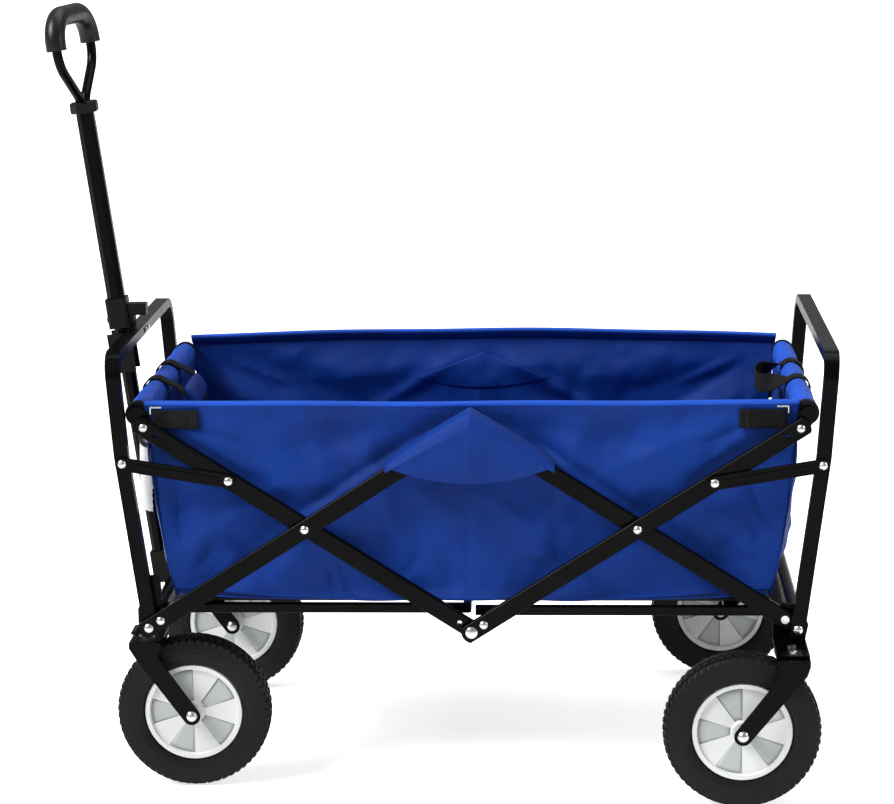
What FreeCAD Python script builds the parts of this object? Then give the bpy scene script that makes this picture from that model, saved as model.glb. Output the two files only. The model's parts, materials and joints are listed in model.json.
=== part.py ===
"""Collapsible beach cart: a folding scissor-frame wagon with a fabric tub and a telescoping handle.

Millimetres. +X runs from the handle end to the rear, +Y across the cart, +Z up from the ground.
"near" means the -Y side and "far" the +Y side. Both sides are mirror images.
"""
import FreeCAD, Part
import math
import os
from FreeCAD import Vector

# ---------------------------------------------------------------- driving dimensions
BOX_CENTRE_X = -44.70       # middle of the outline, from the middle of the cart

# scissor linkage, in the side plane (x from the middle of the cart, z from the ground)
OPEN_ANGLE = 32.6           # bar angle above level with the cart open
CROSS_Z = 340.0             # height of the pivots where the bars cross
ARM_IN = 244.0              # crossing pivot to the middle pivots
ARM_OUT_RISING = 235.0      # crossing pivot to the lower corner pivot
ARM_OUT_FALLING = 235.5     # crossing pivot to the upper corner rivet
BAR_DEPTH = 22.0
BAR_THICK = 10.0
BAR_WALL = 1.3
BAR_OVERRUN = 7.5           # tube past its end pivot
NOSE = 5.0                  # end plug standing out of the tube
PLUG_DEPTH = 26.0           # end plug inside the tube
PLUG_RIVET = 18.0           # second rivet of a bar end, from the pivot

# layers across the cart, as distances from the middle plane to a layer's outer face
OUTER_LAYER = 241.0         # front rising bar and rear falling bar
INNER_LAYER = 230.4         # front falling bar and rear rising bar
FRONT_POST_LAYER = 230.4
REAR_POST_LAYER = 243.0
FRONT_STRUT_LAYER = 233.8
REAR_STRUT_LAYER = 246.4
FRONT_CHEEK_LAYER = 217.8
REAR_CHEEK_LAYER = 219.8
PLATE = 3.0

# end frames
POST_WIDE = 18.0            # along the cart
POST_THICK = 12.0           # across the cart
POST_LEAN_LOW = 7.54
POST_LEAN_HIGH = 4.2
POST_KNEE_Z = 430.0
FRAME_TOP_Z = 559.0
FRAME_CORNER = 26.0         # bend radius of the top corners
POST_FOOT = 12.0            # post below its pivot
TUBE_WALL = 1.3

# struts between post and falling bar
STRUT_UP_POST = 210.3       # post pivot to strut pivot
STRUT_ON_BAR = 111.5        # crossing pivot to the strut's end on the bar
STRUT_DEPTH = 17.0

# rivets and bolts
PIN_R = 3.0
RUN = 0.05                  # running clearance on the radius
RIVET_HEAD_R = 5.2
RIVET_HEAD_H = 2.6
BOLT_HEAD_R = 7.4

# cross tubes
BASE_TUBE_R = 10.0
RIM_TUBE_R = 8.0
RIM_TUBE_OFF_X = 9.0        # rim tube outboard of the corner rivet
RIM_TUBE_OFF_Z = 14.1       # rim tube above the corner rivet
SLEEVE_R = 15.0

# wheels
WHEEL_R = 97.5
RIM_R = 62.0
TYRE_HALF = 20.0
HUB_R = 13.0
AXLE_R = 4.0
FORK_HALF = 35.0            # middle of the wheel to the fork's outer face
FORK_PLATE = 2.5
FORK_WIDE = 22.0
FORK_TOP_WIDE = 40.0
BRIDGE_Z = 190.5            # underside of the fork bridge
FRONT_TRACK = 203.0         # middle plane of a front wheel
REAR_TRACK = 276.0
FRONT_SWIVEL_X = -410.0
FRONT_HUB_X = -353.6
REAR_PLATE_X = 394.0
REAR_HUB_X = 333.2
KING_PIN_R = 6.0
COLLAR_R = 13.0

# floor rails
RAIL_PIVOT_X = 388.2
RAIL_Z = 229.0
RAIL_TALL = 12.0
RAIL_WIDE = 10.0
REAR_RAIL_LAYER = 213.0
FRONT_RAIL_LAYER = 202.4
BOARD_START = 76.0          # floor board from the middle of the cart
BOARD_END = 374.0
BOARD_HALF = 188.0
BOARD_THICK = 3.0

# tub
WALL = 2.0
WALL_OUT = 216.0            # outer face of the long walls
RIM_Z = 497.0
TUB_FLOOR_Z = 243.0
TUB_HALF_TOP = 397.0
TUB_HALF_MID = 396.0
TUB_HALF_LOW = 380.0
END_WALL_HALF = 211.0

# handle
HANDLE_OFFSET = 16.7        # handle axis in front of the base axis
HANDLE_TWIST = -10.0          # the grip stands a little askew on its tube
LOWER_ACROSS = 18.0
UPPER_ACROSS = 22.5
LOWER_START = 26.0          # along the handle, from the base axis
LOWER_END = 455.0
UPPER_START = 372.0
UPPER_END = 632.0
COLLAR_START = 346.0
COLLAR_END = 385.0
LOOP_HALF = 62.0
LOOP_GAP = 6.6              # half the distance between the loop's feet
LOOP_RISE = 123.0           # middle of the grip, above the top ring
LOOP_BEND = 36.0            # bend radius at the top of the loop
GRIP_RISE = 82.0            # lower ends of the grip, above the top ring
LOOP_ROD_R = 6.2
GRIP_R = 13.0

os.makedirs("parts", exist_ok=True)

rad = math.radians
COS0 = math.cos(rad(OPEN_ANGLE))
SIN0 = math.sin(rad(OPEN_ANGLE))


# ---------------------------------------------------------------- linkage points (x, z)
CROSS = (ARM_IN * COS0, CROSS_Z)
TOP_MID = (0.0, CROSS_Z + ARM_IN * SIN0)
LOW_MID = (0.0, CROSS_Z - ARM_IN * SIN0)
CORNER_LOW = (CROSS[0] + ARM_OUT_RISING * COS0, CROSS_Z - ARM_OUT_RISING * SIN0)
CORNER_TOP = (CROSS[0] + ARM_OUT_FALLING * COS0, CROSS_Z + ARM_OUT_FALLING * SIN0)
STRUT_POST = (
    CORNER_LOW[0] + STRUT_UP_POST * math.sin(rad(POST_LEAN_LOW)),
    CORNER_LOW[1] + STRUT_UP_POST * math.cos(rad(POST_LEAN_LOW)),
)
STRUT_BAR = (CROSS[0] + STRUT_ON_BAR * COS0, CROSS_Z + STRUT_ON_BAR * SIN0)
RIM_TUBE = (CORNER_TOP[0] + RIM_TUBE_OFF_X, CORNER_TOP[1] + RIM_TUBE_OFF_Z)


# ---------------------------------------------------------------- building blocks
def box(x0, x1, y0, y1, z0, z1):
    return Part.makeBox(x1 - x0, y1 - y0, z1 - z0, Vector(x0, y0, z0))


def rod(p0, p1, radius):
    start = Vector(*p0)
    run = Vector(*p1) - start
    return Part.makeCylinder(radius, run.Length, start, run)


def pin_across(xz, y0, y1, radius):
    low, high = min(y0, y1), max(y0, y1)
    return rod((xz[0], low, xz[1]), (xz[0], high, xz[1]), radius)


def plate_across(points, y0, y1):
    """Prism of an outline in the side plane, between two distances across the cart."""
    low, high = min(y0, y1), max(y0, y1)
    wire = Part.makePolygon([Vector(x, low, z) for x, z in points + points[:1]])
    return Part.Face(wire).extrude(Vector(0, high - low, 0))


def link_plate(a, b, radius_a, radius_b, y0, y1):
    """Plate with a round end at a and at b, as a strut or a lug has."""
    ends = [pin_across(a, y0, y1, radius_a), pin_across(b, y0, y1, radius_b)]
    dx, dz = b[0] - a[0], b[1] - a[1]
    length = math.hypot(dx, dz)
    nx, nz = -dz / length, dx / length
    outline = [
        (a[0] + nx * radius_a, a[1] + nz * radius_a),
        (b[0] + nx * radius_b, b[1] + nz * radius_b),
        (b[0] - nx * radius_b, b[1] - nz * radius_b),
        (a[0] - nx * radius_a, a[1] - nz * radius_a),
    ]
    return plate_across(outline, y0, y1).multiFuse(ends).removeSplitter()


def along(a, b, distance):
    length = math.hypot(b[0] - a[0], b[1] - a[1])
    return (a[0] + (b[0] - a[0]) * distance / length, a[1] + (b[1] - a[1]) * distance / length)


def mirror_x(shape):
    return shape.mirror(Vector(0, 0, 0), Vector(1, 0, 0))


def mirror_y(shape):
    return shape.mirror(Vector(0, 0, 0), Vector(0, 1, 0))


def both_sides(shape):
    return [shape, mirror_y(shape)]


def rivet_head(xz, face, direction, radius=RIVET_HEAD_R, height=RIVET_HEAD_H):
    """Domed head standing on a face across the cart; direction is -1 or +1."""
    ball_r = (radius ** 2 + height ** 2) / (2 * height)
    centre = Vector(xz[0], face - direction * (ball_r - height), xz[1])
    ball = Part.makeSphere(ball_r, centre)
    keep = pin_across(xz, face, face + direction * height * 1.5, radius)
    return ball.common(keep)


def rivet(xz, outer, inner, radius=PIN_R, head=RIVET_HEAD_R):
    """Rivet through the near side: shank from the outer face to the inner one, with two heads."""
    shank = pin_across(xz, -outer - 0.3, -inner + 0.3, radius)
    heads = [rivet_head(xz, -outer - 0.1, -1, head), rivet_head(xz, -inner + 0.1, 1, head)]
    return shank.multiFuse(heads)


def blind_rivet(xz, outer, depth):
    """Rivet set from outside into a hollow bar: a head and a short shank."""
    shank = pin_across(xz, -outer - 0.3, -outer + depth, PIN_R)
    return shank.fuse(rivet_head(xz, -outer - 0.1, -1))


def octagon_prism(across, start, length, corner=0.29):
    """Eight-sided prism up the Z axis; corner is the part of the width that each corner loses."""
    half = across / 2
    cut = across * corner
    points = []
    for sx, sy in ((1, 1), (-1, 1), (-1, -1), (1, -1)):
        pair = [(sx * half, sy * (half - cut)), (sx * (half - cut), sy * half)]
        points += pair if sx * sy > 0 else pair[::-1]
    wire = Part.makePolygon([Vector(x, y, start) for x, y in points + points[:1]])
    return Part.Face(wire).extrude(Vector(0, 0, length))


def save(name, shapes):
    """Write one node, moved so that the middle of the outline is over the origin."""
    shapes = shapes if isinstance(shapes, list) else [shapes]
    solids = [solid for shape in shapes for solid in shape.Solids]
    for solid in solids:
        if not solid.isValid() or solid.Volume <= 0:
            print("BAD SOLID", name)
    whole = Part.Compound(solids) if len(solids) > 1 else solids[0]
    whole = whole.copy()
    whole.translate(Vector(-BOX_CENTRE_X, 0, 0))
    whole.exportStep("parts/%s.step" % name)
    NODES[name] = whole


NODES = {}


# ---------------------------------------------------------------- scissor bars
def bar_tube(a, b, outer, holes):
    """Rectangular tube from pivot a to pivot b, square ends, holes drilled through."""
    start = along(a, b, -BAR_OVERRUN)
    end = along(b, a, -BAR_OVERRUN)
    length = math.hypot(end[0] - start[0], end[1] - start[1])
    outside = box(0, length, 0, BAR_THICK, -BAR_DEPTH / 2, BAR_DEPTH / 2)
    edges = [e for e in outside.Edges if abs(e.BoundBox.XLength - length) < 0.01]
    outside = outside.makeFillet(2.0, edges)
    inside = box(-1, length + 1, BAR_WALL, BAR_THICK - BAR_WALL,
                 -BAR_DEPTH / 2 + BAR_WALL, BAR_DEPTH / 2 - BAR_WALL)
    tube = outside.cut(inside)
    angle = math.degrees(math.atan2(end[1] - start[1], end[0] - start[0]))
    tube.rotate(Vector(0, 0, 0), Vector(0, -1, 0), angle)
    tube.translate(Vector(start[0], -outer, start[1]))
    for hole in holes:
        tube = tube.cut(pin_across(hole, -outer - 5, -outer + BAR_THICK + 5, PIN_R + RUN))
    return tube


def bar_plug(pivot, other, outer, holes):
    """Moulded plug in a bar's end, with a rounded nose past the tube."""
    inset = BAR_WALL + 0.05
    stub = box(-BAR_OVERRUN + 0.05, PLUG_DEPTH, inset, BAR_THICK - inset,
               -BAR_DEPTH / 2 + inset, BAR_DEPTH / 2 - inset)
    nose_r = ((BAR_DEPTH / 2) ** 2 + NOSE ** 2) / (2 * NOSE)
    tip = -BAR_OVERRUN - NOSE
    disc = rod((tip + nose_r, 0, 0), (tip + nose_r, BAR_THICK, 0), nose_r)
    nose = disc.common(box(tip - 1, -BAR_OVERRUN - 0.05, 0, BAR_THICK, -BAR_DEPTH / 2, BAR_DEPTH / 2))
    neck = box(-BAR_OVERRUN - 1, -BAR_OVERRUN + 1, inset, BAR_THICK - inset,
               -BAR_DEPTH / 2 + inset, BAR_DEPTH / 2 - inset)
    plug = stub.multiFuse([nose, neck]).removeSplitter()
    angle = math.degrees(math.atan2(other[1] - pivot[1], other[0] - pivot[0]))
    plug.rotate(Vector(0, 0, 0), Vector(0, -1, 0), angle)
    plug.translate(Vector(pivot[0], -outer, pivot[1]))
    for hole in holes:
        plug = plug.cut(pin_across(hole, -outer - 5, -outer + BAR_THICK + 5, PIN_R + RUN))
    return plug


def scissor_bar(name, low, high, outer, extra):
    """One bar on each side, its plugs and the rivets that hold the plugs."""
    low_set = along(low, high, PLUG_RIVET)
    high_set = along(high, low, PLUG_RIVET)
    holes = [low, high, low_set, high_set] + extra
    pieces = [
        bar_tube(low, high, outer, holes),
        bar_plug(low, high, outer, holes),
        bar_plug(high, low, outer, holes),
    ]
    save(name, pieces + [mirror_y(p) for p in pieces])


def flip(xz):
    return (-xz[0], xz[1])


def make_scissors():
    scissor_bar("front_rising_bars", flip(CORNER_LOW), TOP_MID, OUTER_LAYER, [flip(CROSS)])
    scissor_bar("rear_rising_bars", CORNER_LOW, TOP_MID, INNER_LAYER, [CROSS])
    scissor_bar("front_falling_bars", LOW_MID, flip(CORNER_TOP), INNER_LAYER, [flip(CROSS)])
    scissor_bar("rear_falling_bars", LOW_MID, CORNER_TOP, OUTER_LAYER, [CROSS])

    inner_face = INNER_LAYER - BAR_THICK
    outer_inside = OUTER_LAYER - BAR_THICK
    front_rising = []
    front_rising += both_sides(rivet(flip(CROSS), OUTER_LAYER, inner_face))
    front_rising += both_sides(rivet(TOP_MID, OUTER_LAYER, inner_face))
    front_rising += both_sides(blind_rivet(along(flip(CORNER_LOW), TOP_MID, PLUG_RIVET), OUTER_LAYER, 8))
    front_rising += both_sides(blind_rivet(along(TOP_MID, flip(CORNER_LOW), PLUG_RIVET), OUTER_LAYER, 8))
    save("front_rising_bar_rivets", front_rising)

    set_point = along(CORNER_LOW, TOP_MID, PLUG_RIVET)
    flush = pin_across(set_point, -INNER_LAYER - 0.3, -INNER_LAYER + 8, PIN_R)
    flush = flush.fuse(pin_across(set_point, -INNER_LAYER - 0.4, -INNER_LAYER - 0.1, RIVET_HEAD_R))
    save("rear_rising_bar_rivets", both_sides(flush))

    front_falling = []
    front_falling += both_sides(rivet(flip(CORNER_TOP), INNER_LAYER, inner_face - 0.6 - PLATE))
    front_falling += both_sides(rivet(LOW_MID, OUTER_LAYER, inner_face, PIN_R, BOLT_HEAD_R))
    save("front_falling_bar_rivets", front_falling)

    rear_falling = []
    rear_falling += both_sides(rivet(CROSS, OUTER_LAYER, inner_face))
    rear_falling += both_sides(rivet(CORNER_TOP, OUTER_LAYER, outer_inside - 0.6 - PLATE))
    rear_falling += both_sides(blind_rivet(along(LOW_MID, CORNER_TOP, PLUG_RIVET), OUTER_LAYER, 8))
    save("rear_falling_bar_rivets", rear_falling)


def make_rim_tubes():
    """Cross tubes that hold the tub's ends up, on lugs at the tops of the falling bars."""
    for end, layer in (("front", INNER_LAYER), ("rear", OUTER_LAYER)):
        inside = layer - BAR_THICK - 0.3
        lug = link_plate(CORNER_TOP, RIM_TUBE, 9.0, 10.5, -inside, -inside + PLATE)
        lug = lug.cut(pin_across(CORNER_TOP, -300, 0, PIN_R + RUN))
        tube = pin_across(RIM_TUBE, -inside + PLATE + 0.1, inside - PLATE - 0.1, RIM_TUBE_R)
        tube = tube.cut(pin_across(RIM_TUBE, -300, 300, RIM_TUBE_R - 1.2))
        sleeve = pin_across(RIM_TUBE, -213, 213, SLEEVE_R)
        sleeve = sleeve.cut(pin_across(RIM_TUBE, -300, 300, RIM_TUBE_R + 0.3))
        if end == "front":
            lug, tube, sleeve = mirror_x(lug), mirror_x(tube), mirror_x(sleeve)
        save(end + "_rim_tube", [tube] + both_sides(lug))
        save(end + "_rim_sleeve", sleeve)


# ---------------------------------------------------------------- end frames and struts
def post_x(z):
    """Middle of a post at a height, on the rear end."""
    knee = CORNER_LOW[0] + (POST_KNEE_Z - CORNER_LOW[1]) * math.tan(rad(POST_LEAN_LOW))
    if z <= POST_KNEE_Z:
        return CORNER_LOW[0] + (z - CORNER_LOW[1]) * math.tan(rad(POST_LEAN_LOW))
    return knee + (z - POST_KNEE_Z) * math.tan(rad(POST_LEAN_HIGH))


def frame_sheet(half_width, thick, wide, z_foot, z_top, corner):
    """Hoop seen from the end, cut to the leaning side outline: outer width, tube size, bend."""
    def hoop(inset):
        half = half_width - inset
        top = z_top - inset
        bend = max(corner + thick / 2 - inset, 3.0)
        low = z_foot
        a = Vector(0, -half, low)
        b = Vector(0, -half, top - bend)
        c = Vector(0, -half + bend, top)
        d = Vector(0, half - bend, top)
        e = Vector(0, half, top - bend)
        f = Vector(0, half, low)
        mid = bend * (1 - math.sqrt(0.5))
        left = Part.Arc(b, Vector(0, -half + mid, top - mid), c).toShape()
        right = Part.Arc(d, Vector(0, half - mid, top - mid), e).toShape()
        edges = [Part.makeLine(a, b), left, Part.makeLine(c, d), right]
        edges += [Part.makeLine(e, f), Part.makeLine(f, a)]
        face = Part.Face(Part.Wire(edges))
        slab = face.extrude(Vector(1200, 0, 0))
        slab.translate(Vector(-100, 0, 0))
        return slab
    side = []
    for sign in (-1, 1):
        column = [z_foot - 1, POST_KNEE_Z, z_top + 1]
        column = column if sign < 0 else column[::-1]
        side += [(post_x(z) + sign * wide / 2, z) for z in column]
    blade = plate_across(side, -half_width - 5, half_width + 5)
    ring = hoop(0).cut(hoop(thick))
    return ring.common(blade)


def handle_clip_rivets():
    """Tails of the two rivets that hold the handle clip, on the top bar's inner face."""
    x_in = -(post_x(552.0) - POST_WIDE / 2)
    return [rod((x_in + 0.45, y, 552.0), (x_in + 2.2, y, 552.0), 3.4) for y in (-10.0, 10.0)]


def make_end_frame(end, layer):
    foot = CORNER_LOW[1] - POST_FOOT
    shell = frame_sheet(layer, POST_THICK, POST_WIDE, foot, FRAME_TOP_Z, FRAME_CORNER)
    core = frame_sheet(layer - TUBE_WALL, POST_THICK - 2 * TUBE_WALL, POST_WIDE - 2 * TUBE_WALL,
                       foot - 2, FRAME_TOP_Z - TUBE_WALL, FRAME_CORNER)
    frame = shell.cut(core)
    for xz in (CORNER_LOW, STRUT_POST):
        frame = frame.cut(pin_across(xz, -300, 300, PIN_R + RUN))
    strut_layer = FRONT_STRUT_LAYER if end == "front" else REAR_STRUT_LAYER
    pivots = both_sides(rivet(STRUT_POST, strut_layer, layer - POST_THICK))
    strut = link_plate(STRUT_POST, STRUT_BAR, STRUT_DEPTH / 2, STRUT_DEPTH / 2,
                       -strut_layer, -strut_layer + PLATE)
    rib_a = along(STRUT_POST, STRUT_BAR, 16)
    rib_b = along(STRUT_BAR, STRUT_POST, 14)
    rib = link_plate(rib_a, rib_b, 3.2, 3.2, -strut_layer - 1.6, -strut_layer + 1)
    strut = strut.fuse(rib)
    for xz in (STRUT_POST, STRUT_BAR):
        strut = strut.cut(pin_across(xz, -300, 0, PIN_R + RUN))
    stud = pin_across(STRUT_BAR, -strut_layer - 0.3, -strut_layer + PLATE, PIN_R)
    stud = stud.fuse(rivet_head(STRUT_BAR, -strut_layer - 0.1, -1))
    shapes = [frame] + pivots + [strut, stud]
    if end == "front":
        shapes = [mirror_x(s) for s in shapes]
    save(end + "_end_frame", shapes[0])
    frame_rivets = shapes[1:3]
    if end == "front":
        frame_rivets += handle_clip_rivets()
    save(end + "_frame_rivets", frame_rivets)
    save(end + "_struts", both_sides(shapes[3]) + both_sides(shapes[4]))


# ---------------------------------------------------------------- bases
def make_front_base():
    pivot = flip(CORNER_LOW)
    cheek_out = FRONT_CHEEK_LAYER
    cheek_in = cheek_out - PLATE
    foot_z = BRIDGE_Z + PLATE + 5.0
    outline = [
        (-430.0, foot_z), (-388.0, foot_z), (-377.0, 222.0), (-377.0, 238.0),
        (-389.0, 244.0), (-391.0, 276.0), (-403.0, 276.0), (-420.0, 232.0), (-420.0, 210.0),
    ]
    cheek = plate_across(outline, -cheek_out, -cheek_in)
    foot = box(-430.0, -388.0, -cheek_out, -FRONT_TRACK + 21.0, foot_z, foot_z + PLATE)
    bracket = cheek.fuse(foot).removeSplitter()
    bracket = bracket.cut(pin_across(pivot, -300, 0, PIN_R + RUN))
    bracket = bracket.cut(pin_across((-RAIL_PIVOT_X, RAIL_Z), -300, 0, PIN_R + RUN))
    bracket = bracket.cut(rod((FRONT_SWIVEL_X, -FRONT_TRACK, 150), (FRONT_SWIVEL_X, -FRONT_TRACK, 300),
                              KING_PIN_R + RUN))
    tube = pin_across(pivot, -cheek_in + 3.4, cheek_in - 3.4, BASE_TUBE_R)
    tube = tube.cut(pin_across(pivot, -300, 300, BASE_TUBE_R - 1.5))
    save("front_base", [tube] + both_sides(bracket))
    pivots = both_sides(rivet(pivot, OUTER_LAYER, cheek_in, PIN_R, 5.6))
    pins = pin_across((-RAIL_PIVOT_X, RAIL_Z), -cheek_out - 0.2, -FRONT_RAIL_LAYER + RAIL_WIDE + 0.6, PIN_R)
    pins = pins.fuse(rivet_head((-RAIL_PIVOT_X, RAIL_Z), -cheek_out - 0.1, -1, 4.6, 1.6))
    pins = pins.fuse(rivet_head((-RAIL_PIVOT_X, RAIL_Z), -FRONT_RAIL_LAYER + RAIL_WIDE + 0.5, 1, 4.6, 1.6))
    foot_top = foot_z + PLATE
    king = rod((FRONT_SWIVEL_X, -FRONT_TRACK, BRIDGE_Z - 0.1),
               (FRONT_SWIVEL_X, -FRONT_TRACK, foot_top + 0.3), KING_PIN_R)
    king_head = rod((FRONT_SWIVEL_X, -FRONT_TRACK, foot_top + 0.1),
                    (FRONT_SWIVEL_X, -FRONT_TRACK, foot_top + 1.6), 9.0)
    king_foot = rod((FRONT_SWIVEL_X, -FRONT_TRACK, BRIDGE_Z - 1.8),
                    (FRONT_SWIVEL_X, -FRONT_TRACK, BRIDGE_Z - 0.1), 9.0)
    king = king.multiFuse([king_head, king_foot])
    save("front_base_pins", pivots + both_sides(pins) + both_sides(king))
    collar = rod((FRONT_SWIVEL_X, -FRONT_TRACK, BRIDGE_Z + PLATE + 0.1),
                 (FRONT_SWIVEL_X, -FRONT_TRACK, foot_z - 0.1), COLLAR_R)
    collar = collar.cut(rod((FRONT_SWIVEL_X, -FRONT_TRACK, 150), (FRONT_SWIVEL_X, -FRONT_TRACK, 300),
                            KING_PIN_R + RUN))
    save("caster_bearing_collars", both_sides(collar))


def make_rear_base():
    pivot = CORNER_LOW
    cheek_out = REAR_CHEEK_LAYER
    cheek_in = cheek_out - PLATE
    foot_z = BRIDGE_Z + PLATE + 0.3
    outline = [
        (374.0, foot_z), (414.0, foot_z), (418.0, 214.0), (414.0, 226.0), (402.0, 240.0),
        (388.0, 242.0), (378.0, 238.0), (374.0, 222.0),
    ]
    cheek = plate_across(outline, -cheek_out, -cheek_in)
    foot = box(374.0, 414.0, -REAR_TRACK - 22.0, -cheek_in, foot_z, foot_z + PLATE)
    bracket = cheek.fuse(foot).removeSplitter()
    bracket = bracket.cut(pin_across(pivot, -300, 0, PIN_R + RUN))
    bracket = bracket.cut(pin_across((RAIL_PIVOT_X, RAIL_Z), -300, 0, PIN_R + RUN))
    bolts = []
    for dy in (-12.0, 12.0):
        low = (REAR_PLATE_X, -REAR_TRACK + dy, BRIDGE_Z - 2.0)
        high = (REAR_PLATE_X, -REAR_TRACK + dy, foot_z + PLATE + 2.5)
        bracket = bracket.cut(rod((low[0], low[1], 150), (low[0], low[1], 300), PIN_R + RUN))
        shank = rod(low, high, PIN_R)
        head = rod((low[0], low[1], foot_z + PLATE + 0.1), (low[0], low[1], foot_z + PLATE + 3.1), 5.5)
        bolts.append(shank.fuse(head))
    tube = pin_across(pivot, -cheek_in + 3.4, cheek_in - 3.4, BASE_TUBE_R)
    tube = tube.cut(pin_across(pivot, -300, 300, BASE_TUBE_R - 1.5))
    save("rear_base", [tube] + both_sides(bracket))
    pivots = both_sides(rivet(pivot, REAR_POST_LAYER, cheek_in, PIN_R, 5.6))
    inner = -REAR_RAIL_LAYER + RAIL_WIDE + 0.6
    pins = pin_across((RAIL_PIVOT_X, RAIL_Z), -cheek_out - 0.0, inner, PIN_R)
    pins = pins.fuse(rivet_head((RAIL_PIVOT_X, RAIL_Z), inner - 0.1, 1, 4.6, 1.6))
    save("rear_base_pins", pivots + both_sides(pins) + bolts + [mirror_y(b) for b in bolts])


# ---------------------------------------------------------------- wheels and forks
def fork(top_x, hub_x, track):
    """Stamped fork over a wheel: a bridge and two legs that slant to the hub."""
    sign = 1 if hub_x > top_x else -1
    half_top = FORK_TOP_WIDE / 2
    bridge = box(top_x - half_top, top_x + half_top, -track - FORK_HALF, -track + FORK_HALF,
                 BRIDGE_Z, BRIDGE_Z + PLATE)
    legs = []
    hub = (hub_x, WHEEL_R)
    top = BRIDGE_Z + PLATE
    dx, dz = top_x - hub_x, BRIDGE_Z - 14 - WHEEL_R
    length = math.hypot(dx, dz)
    nx, nz = -dz / length * FORK_WIDE / 2, dx / length * FORK_WIDE / 2
    back = (hub[0] - nx, hub[1] - nz)
    front = (hub[0] + nx, hub[1] + nz)
    if back[0] > front[0]:
        back, front = front, back
    outline = [
        back, (top_x - half_top + 4, BRIDGE_Z - 16), (top_x - half_top, BRIDGE_Z - 4),
        (top_x - half_top, top), (top_x + half_top, top), (top_x + half_top, BRIDGE_Z - 4),
        (top_x + half_top - 4, BRIDGE_Z - 16), front,
    ]
    if sign > 0:
        outline[1] = (top_x - half_top + 7, BRIDGE_Z - 16)
    for y0 in (-track - FORK_HALF, -track + FORK_HALF - FORK_PLATE):
        leg = plate_across(outline, y0, y0 + FORK_PLATE)
        leg = leg.fuse(pin_across(hub, y0, y0 + FORK_PLATE, FORK_WIDE / 2))
        legs.append(leg.cut(pin_across(hub, -400, 0, AXLE_R + RUN)))
    return bridge.multiFuse(legs).removeSplitter()


def wheel_parts(hub_x, track):
    """Tyre, rim with five raised wedges, two bushes and the axle bolt, on the near side."""
    def turned(points):
        wire = Part.makePolygon([Vector(0, y, r) for y, r in points + points[:1]])
        shape = Part.Face(wire).revolve(Vector(0, 0, 0), Vector(0, 1, 0), 360)
        shape.translate(Vector(hub_x, -track, WHEEL_R))
        return shape
    shoulder = TYRE_HALF - 3.0
    tyre = turned([
        (-14.0, RIM_R + 0.1), (-TYRE_HALF, RIM_R + 8), (-TYRE_HALF, RIM_R + 20), (-shoulder, WHEEL_R - 6),
        (-11.0, WHEEL_R - 1.2), (0.0, WHEEL_R), (11.0, WHEEL_R - 1.2), (shoulder, WHEEL_R - 6),
        (TYRE_HALF, RIM_R + 20), (TYRE_HALF, RIM_R + 8), (14.0, RIM_R + 0.1),
    ])
    rim = turned([
        (-14.0, RIM_R), (-16.5, RIM_R - 1), (-16.5, RIM_R - 6), (-10.0, RIM_R - 8), (-7.0, HUB_R + 4),
        (-15.0, HUB_R), (-20.0, HUB_R), (-20.0, 7.0), (20.0, 7.0), (20.0, HUB_R), (15.0, HUB_R),
        (7.0, HUB_R + 4), (10.0, RIM_R - 8), (16.5, RIM_R - 6), (16.5, RIM_R - 1), (14.0, RIM_R),
    ])
    centre = Vector(hub_x, -track, WHEEL_R)
    wedges = []
    for step in range(5):
        wedge = Part.makeCylinder(RIM_R - 5, 25.0, Vector(0, -12.5, 0), Vector(0, 1, 0), 36.0)
        wedge = wedge.cut(Part.makeCylinder(HUB_R - 1, 40.0, Vector(0, -20, 0), Vector(0, 1, 0)))
        wedge.rotate(Vector(0, 0, 0), Vector(0, 1, 0), step * 72.0)
        wedge.translate(centre)
        wedges.append(wedge)
    rim = rim.multiFuse(wedges).removeSplitter()
    bushes = []
    for y0 in (-20.0, 8.0):
        bush = Part.makeCylinder(6.9, 12.0, Vector(hub_x, -track + y0, WHEEL_R), Vector(0, 1, 0))
        bushes.append(bush.cut(pin_across((hub_x, WHEEL_R), -400, 0, AXLE_R + RUN)))
    bolt = pin_across((hub_x, WHEEL_R), -track - FORK_HALF - 0.3, -track + FORK_HALF + 0.3, AXLE_R)
    head = rivet_head((hub_x, WHEEL_R), -track - FORK_HALF - 0.1, -1, 7.0, 4.0)
    nut = rivet_head((hub_x, WHEEL_R), -track + FORK_HALF + 0.1, 1, 7.0, 4.0)
    return tyre, rim, bushes, bolt.multiFuse([head, nut])


def make_wheels():
    for end, top_x, hub_x, track in (("front", FRONT_SWIVEL_X, FRONT_HUB_X, FRONT_TRACK),
                                     ("rear", REAR_PLATE_X, REAR_HUB_X, REAR_TRACK)):
        body = fork(top_x, hub_x, track)
        if end == "front":
            body = body.cut(rod((top_x, -track, 150), (top_x, -track, 300), KING_PIN_R + RUN))
        else:
            for dy in (-12.0, 12.0):
                body = body.cut(rod((top_x, -track + dy, 150), (top_x, -track + dy, 300), PIN_R + RUN))
        tyre, rim, bushes, bolt = wheel_parts(hub_x, track)
        for side, place in (("near", lambda shape: shape), ("far", mirror_y)):
            corner = "%s_%s" % (end, side)
            save(corner + "_tyre", place(tyre))
            save(corner + "_rim", [place(rim)] + [place(bush) for bush in bushes])
            if end == "front":
                save(corner + "_fork", place(body))
                save(corner + "_axle_bolt", place(bolt))
        if end == "rear":
            save("rear_forks", both_sides(body))
            save("rear_axle_bolts", both_sides(bolt))


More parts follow.
